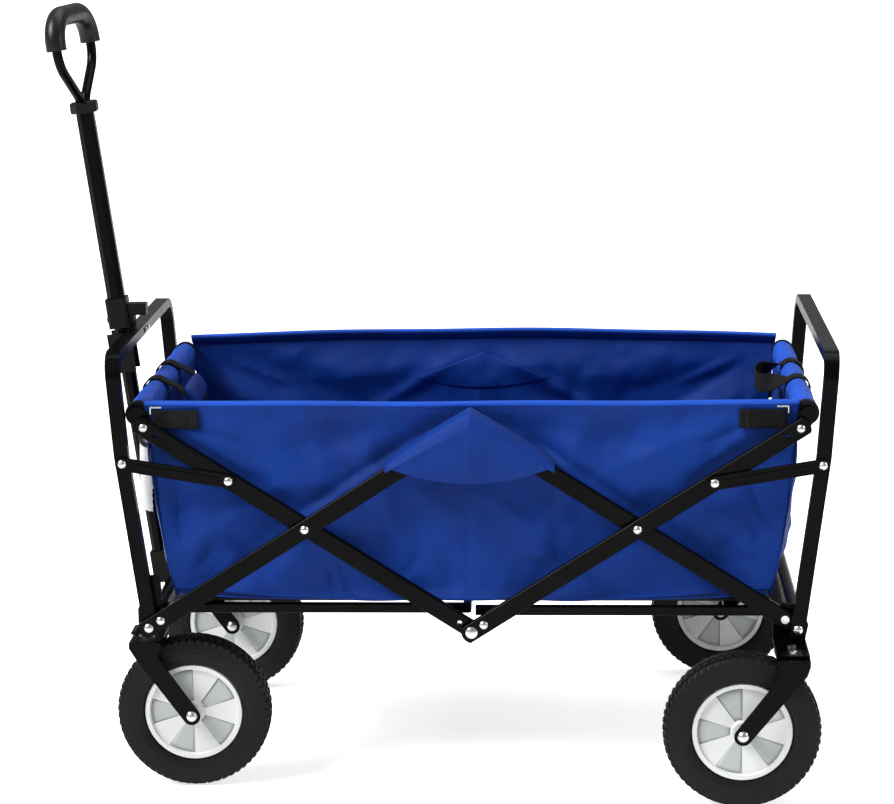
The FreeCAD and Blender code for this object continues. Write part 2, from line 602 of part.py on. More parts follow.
# ---------------------------------------------------------------- floor
def rail(layer):
    body = box(4.0, RAIL_PIVOT_X + 9.0, -layer, -layer + RAIL_WIDE, RAIL_Z - RAIL_TALL / 2,
               RAIL_Z + RAIL_TALL / 2)
    edges = [e for e in body.Edges if e.BoundBox.XLength > 300]
    body = body.makeFillet(1.6, edges)
    core = box(6.0, RAIL_PIVOT_X - 12.0, -layer + 1.2, -layer + RAIL_WIDE - 1.2,
               RAIL_Z - RAIL_TALL / 2 + 1.2, RAIL_Z + RAIL_TALL / 2 - 1.2)
    body = body.cut(core)
    slot = box(0.0, 8.0, -layer + 1.2, -layer + RAIL_WIDE - 1.2,
               RAIL_Z - RAIL_TALL / 2 + 1.2, RAIL_Z + RAIL_TALL / 2 - 1.2)
    body = body.cut(slot)
    return body.cut(pin_across((RAIL_PIVOT_X, RAIL_Z), -300, 0, PIN_R + RUN))


def make_floor():
    front = mirror_x(rail(FRONT_RAIL_LAYER))
    rear = rail(REAR_RAIL_LAYER)
    half = FRONT_RAIL_LAYER - RAIL_WIDE - 0.1
    tube = box(-12.0, -2.0, -half, half, RAIL_Z - 8.0, RAIL_Z + 4.0)
    tube = tube.cut(box(-10.8, -3.2, -300, 300, RAIL_Z - 6.8, RAIL_Z + 2.8))
    top = RAIL_Z + RAIL_TALL / 2 + 0.4
    board = box(BOARD_START, BOARD_END, -BOARD_HALF, BOARD_HALF, top, top + BOARD_THICK)
    cross = box(BOARD_END - 60.0, BOARD_END - 44.0, -192.0, 192.0, top - 10.4, top - 0.3)
    save("rear_floor_board", board)
    save("front_floor_board", mirror_x(board))
    rear_bar = box(BOARD_END - 60.0, BOARD_END - 44.0, -202.6, 202.6, top - 10.4, top - 0.3)
    save("front_floor_rails", both_sides(front) + [tube, mirror_x(cross)])
    save("rear_floor_rails", both_sides(rear) + [rear_bar])


# ---------------------------------------------------------------- fabric tub
def make_tub():
    outline = [
        (-TUB_HALF_TOP, RIM_Z), (TUB_HALF_TOP, RIM_Z), (TUB_HALF_MID, 430.0), (TUB_HALF_LOW, 285.0),
        (TUB_HALF_LOW - 14.0, 256.0), (0.0, TUB_FLOOR_Z), (-TUB_HALF_LOW + 14.0, 256.0),
        (-TUB_HALF_LOW, 285.0), (-TUB_HALF_MID, 430.0),
    ]
    wall = plate_across(outline, -WALL_OUT, -WALL_OUT + WALL)
    half = TUB_HALF_LOW - 10.0
    floor = box(-half, half, -WALL_OUT + WALL + 0.3, WALL_OUT - WALL - 0.3, 243.4, 245.4)
    save("tub_walls_and_floor", both_sides(wall) + [floor])

    def end_wall():
        points = [(TUB_HALF_LOW - 8.0, 247.0), (TUB_HALF_MID + 1.0, 430.0), (TUB_HALF_TOP + 5.0, 464.0)]
        inner = [(x - WALL, z) for x, z in points]
        return plate_across(inner + points[::-1], -END_WALL_HALF, END_WALL_HALF)
    save("tub_rear_wall", end_wall())
    save("tub_front_wall", mirror_x(end_wall()))

    drop = [
        Vector(-104.0, 0, 422.0), Vector(0, 0, 400.0), Vector(104.0, 0, 422.0),
    ]
    arc = Part.Arc(*drop).toShape()
    left = Part.makeLine(Vector(0, 0, 494.0), drop[0])
    right = Part.makeLine(drop[2], Vector(0, 0, 494.0))
    face = Part.Face(Part.Wire([left, arc, right]))
    outline_block = face.extrude(Vector(0, -300, 0))
    profile = [(-216.6, 496.0), (-246.5, 488.5), (-249.5, 400.0), (-251.5, 400.0), (-248.8, 490.5),
               (-216.6, 498.4)]
    wire = Part.makePolygon([Vector(-120, y, z) for y, z in profile + profile[:1]])
    skin = Part.Face(wire).extrude(Vector(240, 0, 0))
    flap = skin.common(outline_block)
    save("tub_flaps", both_sides(flap))

    patches = []
    for x0, x1 in ((-394.0, -336.0), (330.0, 388.0)):
        patches += both_sides(box(x0, x1, -WALL_OUT - 2.4, -WALL_OUT - 0.3, 462.0, 488.0))
    save("corner_webbing_patches", patches)
    hooks = []
    hook_y = -WALL_OUT - 1.6
    for x, run in ((-396.0, 14.0), (390.3, -14.0)):
        bar = rod((x, hook_y, 490.2), (x + run, hook_y, 490.2), 1.1)
        leg = rod((x, hook_y, 482.0), (x, hook_y, 490.2), 1.1)
        hooks += both_sides(bar.fuse(leg))
    save("rim_wire_hooks", hooks)


def webbing_loop(sign, y0, y1, reach, drop):
    """Flat webbing that leaves the end wall, goes over the rim sleeve and hangs inside the tub."""
    cx, cz = RIM_TUBE
    r_in, r_out = SLEEVE_R + 0.4, SLEEVE_R + 2.4

    def point(radius, degrees):
        return (cx + radius * math.cos(rad(degrees)), cz + radius * math.sin(rad(degrees)))
    outer = [point(r_out, a) for a in range(-10, 151, 16)]
    inner = [point(r_in, a) for a in range(-10, 151, 16)]
    tip = (cx - reach, cz - drop)
    outer += [(tip[0], tip[1] + 1.0)]
    inner += [(tip[0], tip[1] - 1.0)]
    loop = plate_across(outer + inner[::-1], y0, y1)
    return loop if sign > 0 else mirror_x(loop)


def make_webbing():
    front = [webbing_loop(-1, y, y + 24.0, 36.4, 12.0) for y in (-66.0, 42.0)]
    grip = Part.makeBox(16.0, 108.0, 20.0, Vector(-372.0 - 4.0, -54.0, RIM_TUBE[1] - 24.0))
    grip = grip.makeFillet(5.0, [e for e in grip.Edges if e.BoundBox.YLength > 100])
    save("front_lift_webbing", front)
    save("front_lift_grip", grip)
    rear = [webbing_loop(1, y, y + 24.0, 44.0, 6.0) for y in (-66.0, 42.0)]
    band = box(368.0 - 2.2, 368.0 - 0.2, -66.0, 66.0, RIM_TUBE[1] - 18.0, RIM_TUBE[1] + 6.0)
    save("rear_lift_webbing", rear + [band])


def make_pockets():
    """Two mesh drink pockets on the outside of the front wall."""
    pockets = []
    for y0 in (-196.0, 36.0):
        outer = Part.makeCylinder(80.0, 86.0, Vector(0, 0, 0), Vector(0, 0, 1))
        outer = outer.cut(Part.makeCylinder(78.0, 84.0, Vector(0, 0, 2.0), Vector(0, 0, 1)))
        outer = outer.common(box(-100.0, 0.0, -100.0, 100.0, -1.0, 90.0))
        matrix = FreeCAD.Matrix()
        matrix.scale(0.3, 1.0, 1.0)
        outer = outer.transformGeometry(matrix)
        outer.translate(Vector(-400.0, y0 + 80.0, 352.0))
        pockets.append(outer)
    save("front_mesh_pockets", pockets)


# ---------------------------------------------------------------- handle
def on_handle(shape):
    """Place a shape that was built standing on the origin along the leaning handle."""
    shape = shape.copy()
    shape.translate(Vector(-HANDLE_OFFSET, 0, 0))
    shape.rotate(Vector(0, 0, 0), Vector(0, -1, 0), POST_LEAN_LOW)
    shape.translate(Vector(-CORNER_LOW[0], 0, CORNER_LOW[1]))
    return shape


def bent_rod(corners, radii, radius):
    """Round rod in the cross plane (y, z): straight runs joined by tangent arcs at the corners."""
    points = [Vector(0, y, z) for y, z in corners]
    edges = []
    last = points[0]
    for here, after, before, bend in zip(points[1:-1], points[2:], points[:-2], radii):
        back = (before - here).normalize()
        ahead = (after - here).normalize()
        half = back.getAngle(ahead) / 2
        reach = bend / math.tan(half)
        start = here + back * reach
        end = here + ahead * reach
        middle = here + (back + ahead).normalize() * (bend / math.sin(half) - bend)
        edges += [Part.makeLine(last, start), Part.Arc(start, middle, end).toShape()]
        last = end
    edges.append(Part.makeLine(last, points[-1]))
    circle = Part.Wire([Part.makeCircle(radius, points[0], points[1] - points[0])])
    return Part.Wire(edges).makePipeShell([circle], True, False)


def make_handle():
    ring = rod((HANDLE_OFFSET, -17, 0), (HANDLE_OFFSET, 17, 0), BASE_TUBE_R + 4.0)
    yoke = Part.makeBox(22.0, 26.0, 42.0, Vector(-11.0, -13.0, 0.0))
    foot = ring.fuse(yoke)
    foot = foot.cut(rod((HANDLE_OFFSET, -30, 0), (HANDLE_OFFSET, 30, 0), BASE_TUBE_R + RUN))
    foot = foot.cut(octagon_prism(LOWER_ACROSS + 0.2, LOWER_START - 0.1, 60.0))
    save("handle_foot", on_handle(foot))
    lower = octagon_prism(LOWER_ACROSS, LOWER_START, LOWER_END - LOWER_START)
    lower = lower.cut(octagon_prism(LOWER_ACROSS - 2.6, LOWER_START - 1, LOWER_END - LOWER_START + 2))
    save("handle_lower_tube", on_handle(lower))

    upper = octagon_prism(UPPER_ACROSS, UPPER_START, UPPER_END - UPPER_START)
    upper = upper.cut(octagon_prism(UPPER_ACROSS - 2.6, UPPER_START - 1, UPPER_END - UPPER_START + 2))
    save("handle_upper_tube", on_handle(upper))
    collar = Part.makeBox(28.0, 29.0, COLLAR_END - COLLAR_START, Vector(-14.0, -14.5, COLLAR_START))
    collar = collar.makeFillet(4.0, [e for e in collar.Edges if e.BoundBox.ZLength > 20])
    collar = collar.cut(octagon_prism(UPPER_ACROSS + 0.1, UPPER_START, 60.0))
    collar = collar.cut(octagon_prism(LOWER_ACROSS + 0.2, COLLAR_START - 1, 60.0))
    button_z = COLLAR_START + 11.0
    collar = collar.cut(rod((-20.0, 0, button_z), (-9.0, 0, button_z), 4.1))
    save("telescope_collar", on_handle(collar))
    button = rod((-16.5, 0, button_z), (-12.6, 0, button_z), 4.0)
    save("telescope_button", on_handle(button))
    lip = octagon_prism(UPPER_ACROSS + 12.0, UPPER_END - 3.0, 15.0)
    lip = lip.makeFillet(3.0, [e for e in lip.Edges if e.BoundBox.ZLength < 0.1])
    lip = lip.cut(octagon_prism(UPPER_ACROSS + 0.1, UPPER_END - 10.0, 10.0))

    base = UPPER_END + 1.0
    top = base + LOOP_RISE
    neck, spread = base + 12.0, base + 62.0
    right = [(LOOP_HALF, top), (LOOP_HALF, spread), (LOOP_GAP, neck), (LOOP_GAP, base)]
    left = [(-y, z) for y, z in right[::-1]]
    bends = [26.0, 40.0, LOOP_BEND, LOOP_BEND, 40.0, 26.0]
    loop = bent_rod(left + right, bends, LOOP_ROD_R)
    socket = box(-6.5, 6.5, -15.2, 15.2, base - 0.2, base + 30.0)
    socket.rotate(Vector(0, 0, 0), Vector(0, 0, 1), HANDLE_TWIST)
    lip = lip.cut(socket)
    grip_low = base + GRIP_RISE
    saddle = [(-LOOP_HALF, grip_low), (-LOOP_HALF, top), (LOOP_HALF, top), (LOOP_HALF, grip_low)]
    bore = [(-LOOP_HALF, grip_low - 1)] + saddle[1:3] + [(LOOP_HALF, grip_low - 1)]
    grip = bent_rod(saddle, [LOOP_BEND] * 2, GRIP_R)
    grip = grip.cut(bent_rod(bore, [LOOP_BEND] * 2, LOOP_ROD_R + 0.15))

    def twisted(shape):
        shape = shape.copy()
        shape.rotate(Vector(0, 0, 0), Vector(0, 0, 1), HANDLE_TWIST)
        return on_handle(shape)
    save("handle_top_ring", on_handle(lip))
    save("handle_loop", twisted(loop))
    save("handle_grip", twisted(grip))

    bar_face = -(post_x(FRAME_TOP_Z) + POST_WIDE / 2) - 0.3
    arms = []
    for sign in (-1, 1):
        arm = Part.makeBox(30.5, 3.2, 52.0, Vector(-17.5, -1.6, 288.0))
        arm.translate(Vector(0, sign * 17.0, 0))
        arms.append(on_handle(arm))
    back = box(bar_face - 3.0, bar_face, -18.6, 18.6, 497.0, 559.0)
    riser = box(bar_face - 3.0, bar_face + 4.0, -9.0, 9.0, 559.3, 586.0)
    hook = box(bar_face - 3.0, bar_face + 20.0, -9.0, 9.0, 571.0, 586.0)
    joiner = box(bar_face - 3.0, bar_face, -9.0, 9.0, 550.0, 562.0)
    clip = back.multiFuse(arms + [riser, hook, joiner]).removeSplitter()
    keep_out = on_handle(box(-14.6, 14.6, -15.1, 15.1, 200.0, 500.0))
    clip = clip.cut(keep_out)
    save("handle_clip", max(clip.Solids, key=lambda s: s.Volume))


make_scissors()
make_rim_tubes()
make_end_frame("front", FRONT_POST_LAYER)
make_end_frame("rear", REAR_POST_LAYER)
make_front_base()
make_rear_base()
make_wheels()
make_floor()
make_tub()
make_webbing()
make_pockets()
make_handle()

for name, shape in NODES.items():
    bb = shape.BoundBox
    print("%-26s %7.1f %7.1f | %7.1f %7.1f | %7.1f %7.1f | %8.0f %d" % (
        name, bb.XMin, bb.XMax, bb.YMin, bb.YMax, bb.ZMin, bb.ZMax, shape.Volume, len(shape.Solids)))
overall = Part.Compound(list(NODES.values())).BoundBox
print("nodes", len(NODES), "x", round(overall.XMin, 2), round(overall.XMax, 2),
      "y", round(overall.YMin, 2), round(overall.YMax, 2), "z", round(overall.ZMin, 2), round(overall.ZMax, 2))
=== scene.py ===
"""Looks of the folding beach cart: tub, webbing, net pockets, tyres, materials, light, camera.

Metres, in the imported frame. cart(x, y, z) takes millimetres from the middle of the wheelbase,
on the ground, because the cart is laid out from its middle. "near" is the -Y side.
"""
import json
import math

import bmesh
import bpy
from mathutils import Matrix, Vector, noise
from mathutils.bvhtree import BVHTree


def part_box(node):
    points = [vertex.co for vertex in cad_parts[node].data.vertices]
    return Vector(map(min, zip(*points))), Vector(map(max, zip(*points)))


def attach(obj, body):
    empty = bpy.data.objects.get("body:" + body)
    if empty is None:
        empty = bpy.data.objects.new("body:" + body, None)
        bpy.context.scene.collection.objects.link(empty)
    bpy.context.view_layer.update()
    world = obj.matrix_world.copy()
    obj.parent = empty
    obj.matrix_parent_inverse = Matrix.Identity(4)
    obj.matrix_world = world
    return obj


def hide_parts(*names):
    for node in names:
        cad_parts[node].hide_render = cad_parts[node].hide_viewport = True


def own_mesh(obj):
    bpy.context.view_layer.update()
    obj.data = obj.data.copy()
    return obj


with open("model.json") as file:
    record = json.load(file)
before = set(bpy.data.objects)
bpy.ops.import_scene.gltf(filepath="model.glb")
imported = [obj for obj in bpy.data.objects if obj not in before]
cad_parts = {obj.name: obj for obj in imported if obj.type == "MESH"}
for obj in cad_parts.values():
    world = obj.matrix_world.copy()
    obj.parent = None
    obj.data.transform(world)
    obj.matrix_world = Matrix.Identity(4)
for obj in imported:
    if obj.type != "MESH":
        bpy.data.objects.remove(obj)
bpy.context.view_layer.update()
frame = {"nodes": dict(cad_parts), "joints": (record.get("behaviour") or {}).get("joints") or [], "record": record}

SIDES = {"near": -1, "far": 1}


def joint_at(name):
    found = [j for j in frame["joints"] if j["name"] == name]
    return Vector(found[0]["pos_m"])


FRONT_PIVOT = joint_at("fold")
REAR_PIVOT = joint_at("rear_corner_pivot")
MIDDLE_X = (FRONT_PIVOT.x + REAR_PIVOT.x) / 2

# the tub and what is on it, in millimetres from the middle of the cart
WALL_Y = 215.0
WALL_LIMIT = 217.0              # the bars' rivets are just outside this
RIM_Z = 497.0                   # top of the long walls' hems, where they neither sag nor rise
HEM_ROLL = 4.0                  # radius of the rolled hem
END_HALF = 209.0                # half the width of an end wall
SLEEVE_X = 412.96               # axis of the rim tube at each end
SLEEVE_Z = 480.98
SLEEVE_R = 15.0
FLAP_HALF = 104.0
FLAP_APEX_Z = 487.0
FLAP_CORNER_Z = 422.0
FLAP_LOW_Z = 400.0
STRUT_END_X = 299.49            # rivet that holds a strut to its bar
STRUT_END_Z = 400.07
CLOTH_GRAVITY = 0.6             # share of real gravity: the walls are taut, so they hardly hang
CLOTH_ROUGHNESS = (0.42, 0.6)

# camera, as fitted to the photograph, and the light
CAMERA_PLACE = (138.9, -3508.8, 1166.0)
CAMERA_YAW, CAMERA_PITCH, CAMERA_ROLL = 0.0507, -0.2004, -0.0123
CAMERA_LENS = 110.1
SENSOR_WIDTH = 36.0
AMBIENT = 0.28                  # the world's light on things; the camera sees it white
FLOOR_GLOW = (0.1, 0.72)        # the floor's own light, on things and as the camera sees it
SUN_FROM = (-0.75, -0.42, 0.88)
SUN_POWER = 3.1
SUN_ANGLE = math.radians(30)


def cart(x, y, z):
    return Vector((MIDDLE_X + x / 1000, y / 1000, z / 1000))


# ---------------------------------------------------------------- materials
def tree_of(name):
    material = bpy.data.materials.new(name)
    material.use_nodes = True
    nodes = material.node_tree.nodes
    links = material.node_tree.links
    shader = nodes["Principled BSDF"]
    place = nodes.new("ShaderNodeTexCoord")
    return material, nodes, links, shader, place.outputs["Object"]


def noise_at(nodes, links, place, scale, detail=3.0, rough=0.55):
    texture = nodes.new("ShaderNodeTexNoise")
    texture.inputs["Scale"].default_value = scale
    texture.inputs["Detail"].default_value = detail
    texture.inputs["Roughness"].default_value = rough
    links.new(place, texture.inputs["Vector"])
    return texture.outputs["Fac"]


def spread(nodes, links, value, low, high):
    """A noise value carried from its usual middle range to low..high."""
    node = nodes.new("ShaderNodeMapRange")
    node.inputs["From Min"].default_value = 0.3
    node.inputs["From Max"].default_value = 0.7
    node.inputs["To Min"].default_value = low
    node.inputs["To Max"].default_value = high
    links.new(value, node.inputs["Value"])
    return node.outputs["Result"]


def two_colours(nodes, links, value, first, second, low=0.35, high=0.65):
    ramp = nodes.new("ShaderNodeValToRGB")
    ramp.color_ramp.elements[0].position = low
    ramp.color_ramp.elements[0].color = (*first, 1)
    ramp.color_ramp.elements[1].position = high
    ramp.color_ramp.elements[1].color = (*second, 1)
    links.new(value, ramp.inputs["Fac"])
    return ramp.outputs["Color"]


def bumped(nodes, links, shader, height, strength, distance):
    bump = nodes.new("ShaderNodeBump")
    bump.inputs["Strength"].default_value = strength
    bump.inputs["Distance"].default_value = distance
    links.new(height, bump.inputs["Height"])
    links.new(bump.outputs["Normal"], shader.inputs["Normal"])
    return bump


def wave_at(nodes, links, place, direction, scale):
    wave = nodes.new("ShaderNodeTexWave")
    wave.bands_direction = direction
    wave.inputs["Scale"].default_value = scale
    wave.inputs["Distortion"].default_value = 0.4
    wave.inputs["Detail"].default_value = 1.0
    links.new(place, wave.inputs["Vector"])
    return wave.outputs["Fac"]


def combined(nodes, links, operation, first, second):
    node = nodes.new("ShaderNodeMath")
    node.operation = operation
    for socket, value in zip(node.inputs, (first, second)):
        if isinstance(value, (int, float)):
            socket.default_value = value
        else:
            links.new(value, socket)
    return node.outputs[0]


def coat_material(name, dark, light, rough_low, rough_high, bump_scale, bump_depth, specular=0.5):
    """Painted or moulded surface: faint mottling, changing gloss and a fine skin."""
    material, nodes, links, shader, place = tree_of(name)
    mottling = noise_at(nodes, links, place, 9.0)
    links.new(two_colours(nodes, links, mottling, dark, light), shader.inputs["Base Color"])
    wear = noise_at(nodes, links, place, 60.0, 4.0)
    links.new(spread(nodes, links, wear, rough_low, rough_high), shader.inputs["Roughness"])
    bumped(nodes, links, shader, noise_at(nodes, links, place, bump_scale, 2.0), 0.35, bump_depth)
    shader.inputs["Specular IOR Level"].default_value = specular
    return material


def metal_material(name, colour, rough_low, rough_high):
    material, nodes, links, shader, place = tree_of(name)
    patches = noise_at(nodes, links, place, 180.0, 3.0)
    duller = tuple(c * 0.78 for c in colour)
    links.new(two_colours(nodes, links, patches, duller, colour), shader.inputs["Base Color"])
    links.new(spread(nodes, links, patches, rough_high, rough_low), shader.inputs["Roughness"])
    bumped(nodes, links, shader, noise_at(nodes, links, place, 900.0, 2.0), 0.2, 0.0002)
    shader.inputs["Metallic"].default_value = 1.0
    return material


def cloth_material(name, dark, light, yarn, depth, sheen):
    """Plain weave: two crossed sets of yarns, slubs, and slow changes of shade."""
    material, nodes, links, shader, place = tree_of(name)
    shade = noise_at(nodes, links, place, 7.0, 4.0)
    slub = noise_at(nodes, links, place, 420.0, 2.0)
    mixed = combined(nodes, links, "ADD", combined(nodes, links, "MULTIPLY", shade, 0.7),
                     combined(nodes, links, "MULTIPLY", slub, 0.3))
    links.new(two_colours(nodes, links, mixed, dark, light), shader.inputs["Base Color"])
    links.new(spread(nodes, links, shade, *CLOTH_ROUGHNESS), shader.inputs["Roughness"])
    across = wave_at(nodes, links, place, "X", yarn)
    upward = wave_at(nodes, links, place, "Z", yarn)
    over = wave_at(nodes, links, place, "Y", yarn)
    weave = combined(nodes, links, "ADD", combined(nodes, links, "MULTIPLY", across, upward),
                     combined(nodes, links, "MULTIPLY", over, 0.5))
    bumped(nodes, links, shader, weave, 0.5, depth)
    shader.inputs["Sheen Weight"].default_value = sheen
    shader.inputs["Sheen Roughness"].default_value = 0.4
    shader.inputs["Specular IOR Level"].default_value = 0.14
    return material


def ribbed_material(name, dark, light):
    """Webbing: ribs across the band."""
    material, nodes, links, shader, place = tree_of(name)
    shade = noise_at(nodes, links, place, 40.0, 4.0)
    links.new(two_colours(nodes, links, shade, dark, light), shader.inputs["Base Color"])
    shader.inputs["Roughness"].default_value = 0.62
    ribs = combined(nodes, links, "ADD", wave_at(nodes, links, place, "Z", 320.0),
                    wave_at(nodes, links, place, "X", 320.0))
    bumped(nodes, links, shader, ribs, 0.6, 0.0005)
    shader.inputs["Sheen Weight"].default_value = 0.02
    shader.inputs["Specular IOR Level"].default_value = 0.12
    return material


# name, darker and lighter colour, roughness from and to, bump scale and depth, specular level
BLACK_STEEL = coat_material("black_powder_coat", (0.0008, 0.0008, 0.0008), (0.0019, 0.0019, 0.0018),
                            0.18, 0.28, 700.0, 0.00010, 0.08)
BLACK_PLASTIC = coat_material("black_moulding", (0.003, 0.003, 0.003), (0.006, 0.006, 0.006),
                              0.34, 0.5, 1400.0, 0.00015, 0.16)
GRIP_PLASTIC = coat_material("grip_moulding", (0.006, 0.0055, 0.005), (0.011, 0.010, 0.0095),
                             0.26, 0.4, 1200.0, 0.0002, 0.3)
TYRE = coat_material("tyre_rubber", (0.003, 0.003, 0.003), (0.007, 0.007, 0.007),
                     0.42, 0.62, 500.0, 0.0003, 0.2)
RIM = coat_material("white_moulding", (0.66, 0.67, 0.67), (0.76, 0.77, 0.77),
                    0.32, 0.46, 300.0, 0.0001)
# greyer copy of the white moulding: painted shade for the hollows between the rim's wedges
RIM_PAINTED_SHADE = coat_material("white_moulding_painted_shade", (0.42, 0.44, 0.44), (0.49, 0.51, 0.51),
                          0.36, 0.5, 300.0, 0.0001)
BOARD = coat_material("dark_board", (0.03, 0.03, 0.034), (0.05, 0.05, 0.055),
                      0.5, 0.7, 260.0, 0.0004)
NET = coat_material("white_net", (0.62, 0.63, 0.64), (0.78, 0.79, 0.8), 0.5, 0.7, 900.0, 0.0002)
THREAD = coat_material("blue_thread", (0.006, 0.024, 0.15), (0.009, 0.032, 0.19),
                       0.5, 0.7, 900.0, 0.0002)
BLACK_THREAD = coat_material("grey_thread", (0.03, 0.03, 0.032), (0.05, 0.05, 0.052),
                             0.5, 0.7, 900.0, 0.0002)
ZINC = metal_material("zinc_plate", (0.86, 0.86, 0.84), 0.18, 0.34)
# name, darker and lighter colour, yarns, depth of the weave, sheen
BLUE = cloth_material("blue_polyester", (0.0010, 0.023, 0.172), (0.0020, 0.038, 0.276),
                      480.0, 0.00028, 0.03)
# lighter copy of the blue cloth, a painted highlight: used on the walls' hem tops and on the sleeves, where light
# from above falls on the rolled edge
BLUE_PAINTED_HIGHLIGHT = cloth_material("blue_polyester_painted_highlight", (0.007, 0.062, 0.42), (0.013, 0.090, 0.58),
                          480.0, 0.00028, 0.06)
WEBBING = ribbed_material("black_webbing", (0.0035, 0.0035, 0.0035), (0.008, 0.008, 0.008))

SLOT_MATERIAL = {
    "black_steel": BLACK_STEEL, "zinc": ZINC, "blue_fabric": BLUE, "black_webbing": WEBBING,
    "mesh": NET, "tyre": TYRE, "rim_plastic": RIM, "board": BOARD, "black_plastic": BLACK_PLASTIC,
}


def dress_cad_nodes():
    """Each carried-over CAD node gets the material of its slot."""
    slot_of = {part["node"]: part["material_slot"] for part in frame["record"]["subparts"]}
    for name, node in frame["nodes"].items():
        material = GRIP_PLASTIC if name == "handle_grip" else SLOT_MATERIAL[slot_of[name]]
        if not node.material_slots:
            node.data.materials.append(material)
        for place in node.material_slots:
            place.material = material


# ---------------------------------------------------------------- mesh building
def new_piece(name, verts, faces, material, smooth=True):
    mesh = bpy.data.meshes.new(name)
    mesh.from_pydata([tuple(v) for v in verts], [], faces)
    mesh.validate()
    mesh.materials.append(material)
    if smooth:
        mesh.polygons.foreach_set("use_smooth", [True] * len(mesh.polygons))
    piece = bpy.data.objects.new(name, mesh)
    bpy.context.scene.collection.objects.link(piece)
    return piece


def grid_piece(name, columns, rows, point, material, closed=False):
    """Surface over a grid; point(u, v) gives metres for u and v from 0 to 1."""
    wide = columns if closed else columns + 1
    verts = [point(c / columns, r / rows) for r in range(rows + 1) for c in range(wide)]
    faces = []
    for r in range(rows):
        for c in range(columns):
            a = r * wide + c
            b = r * wide + (c + 1) % wide
            faces.append((a, b, b + wide, a + wide))
    return new_piece(name, verts, faces, material)


def settle(piece):
    """Apply a piece's modifiers."""
    bpy.context.view_layer.update()
    graph = bpy.context.evaluated_depsgraph_get()
    mesh = bpy.data.meshes.new_from_object(piece.evaluated_get(graph))
    old = piece.data
    piece.modifiers.clear()
    piece.data = mesh
    bpy.data.meshes.remove(old)
    return piece


def thicken(piece, millimetres, offset=0.0, divide=0):
    """Give a sheet its thickness; divide smooths it first."""
    if divide:
        finer = piece.modifiers.new("finer", "SUBSURF")
        finer.levels = finer.render_levels = divide
    shell = piece.modifiers.new("shell", "SOLIDIFY")
    shell.thickness = millimetres / 1000
    shell.offset = offset
    return settle(piece)


def one_side_area(piece):
    return sum(face.area for face in piece.data.polygons)


def simulate(piece, pinned, growth, frames, cap):
    """Let the cloth settle with its border held; it is cut a little too large, so it creases."""
    rest = [vertex.co.copy() for vertex in piece.data.vertices]
    group = piece.vertex_groups.new(name="held")
    group.add(pinned, 1.0, "REPLACE")
    cloth = piece.modifiers.new("cloth", "CLOTH")
    settings = cloth.settings
    settings.quality = 6
    settings.mass = 0.2
    settings.tension_stiffness = settings.compression_stiffness = 20
    settings.shear_stiffness = 12
    settings.bending_stiffness = 0.6
    settings.tension_damping = settings.compression_damping = 12
    settings.shear_damping = 12
    settings.bending_damping = 1.0
    settings.air_damping = 4
    settings.vertex_group_mass = "held"
    settings.shrink_min = -growth
    settings.effector_weights.gravity = CLOTH_GRAVITY
    cloth.collision_settings.use_collision = False
    scene = bpy.context.scene
    for step in range(1, frames + 1):
        scene.frame_set(step)
    settle(piece)
    scene.frame_set(1)
    for vertex, old in zip(piece.data.vertices, rest):
        move = vertex.co - old
        if move.length > cap / 1000:
            vertex.co = old + move.normalized() * cap / 1000
    piece.vertex_groups.clear()


def crease(x, z, start, end, width, depth):
    """Depth of one soft fold at a point of a wall, in millimetres; it fades to its ends."""
    ax, az = start
    bx, bz = end
    run = (bx - ax) ** 2 + (bz - az) ** 2
    t = ((x - ax) * (bx - ax) + (z - az) * (bz - az)) / run
    inside = max(0.0, min(1.0, t))
    away = math.hypot(x - ax - (bx - ax) * inside, z - az - (bz - az) * inside)
    fade = math.sin(math.pi * max(0.0, min(1.0, 0.08 + 0.84 * t)))
    return depth * fade * math.exp(-(away / width) ** 1.35)


def ripple(x, z, seed, scale, depth):
    """Slow uneven surface, the same on each run."""
    return depth * noise.fractal(Vector((x / scale, z / scale, seed)), 1.0, 2.0, 3)


# ---------------------------------------------------------------- tub
def half_length(z):
    """Half the length of a long wall at a height."""
    stations = [(243.0, 366.0), (256.0, 370.0), (285.0, 381.0), (430.0, 397.0), (470.0, 401.5),
                (RIM_Z, 404.5)]
    for (z0, x0), (z1, x1) in zip(stations, stations[1:]):
        if z <= z1:
            return x0 + (x1 - x0) * max(0.0, z - z0) / (z1 - z0)
    return stations[-1][1]


def lower_edge(x):
    """The wall's lower edge hangs a little between its ends, in shallow scallops."""
    lift = 13.0 * abs(x / 380.0) ** 2.6
    return 242.5 + lift + 1.6 * math.sin(x / 31.0) * math.sin(x / 83.0)


def rim_sag(x, sign):
    """The hem's height over a straight rim: the near one hangs, the far one is drawn up."""
    bow = 1 - (x / 405.0) ** 2
    return 0.7 * math.sin(x / 47.0) * bow + (0.6 - 1.6 * bow if sign < 0 else 8.0 + 8.5 * bow)


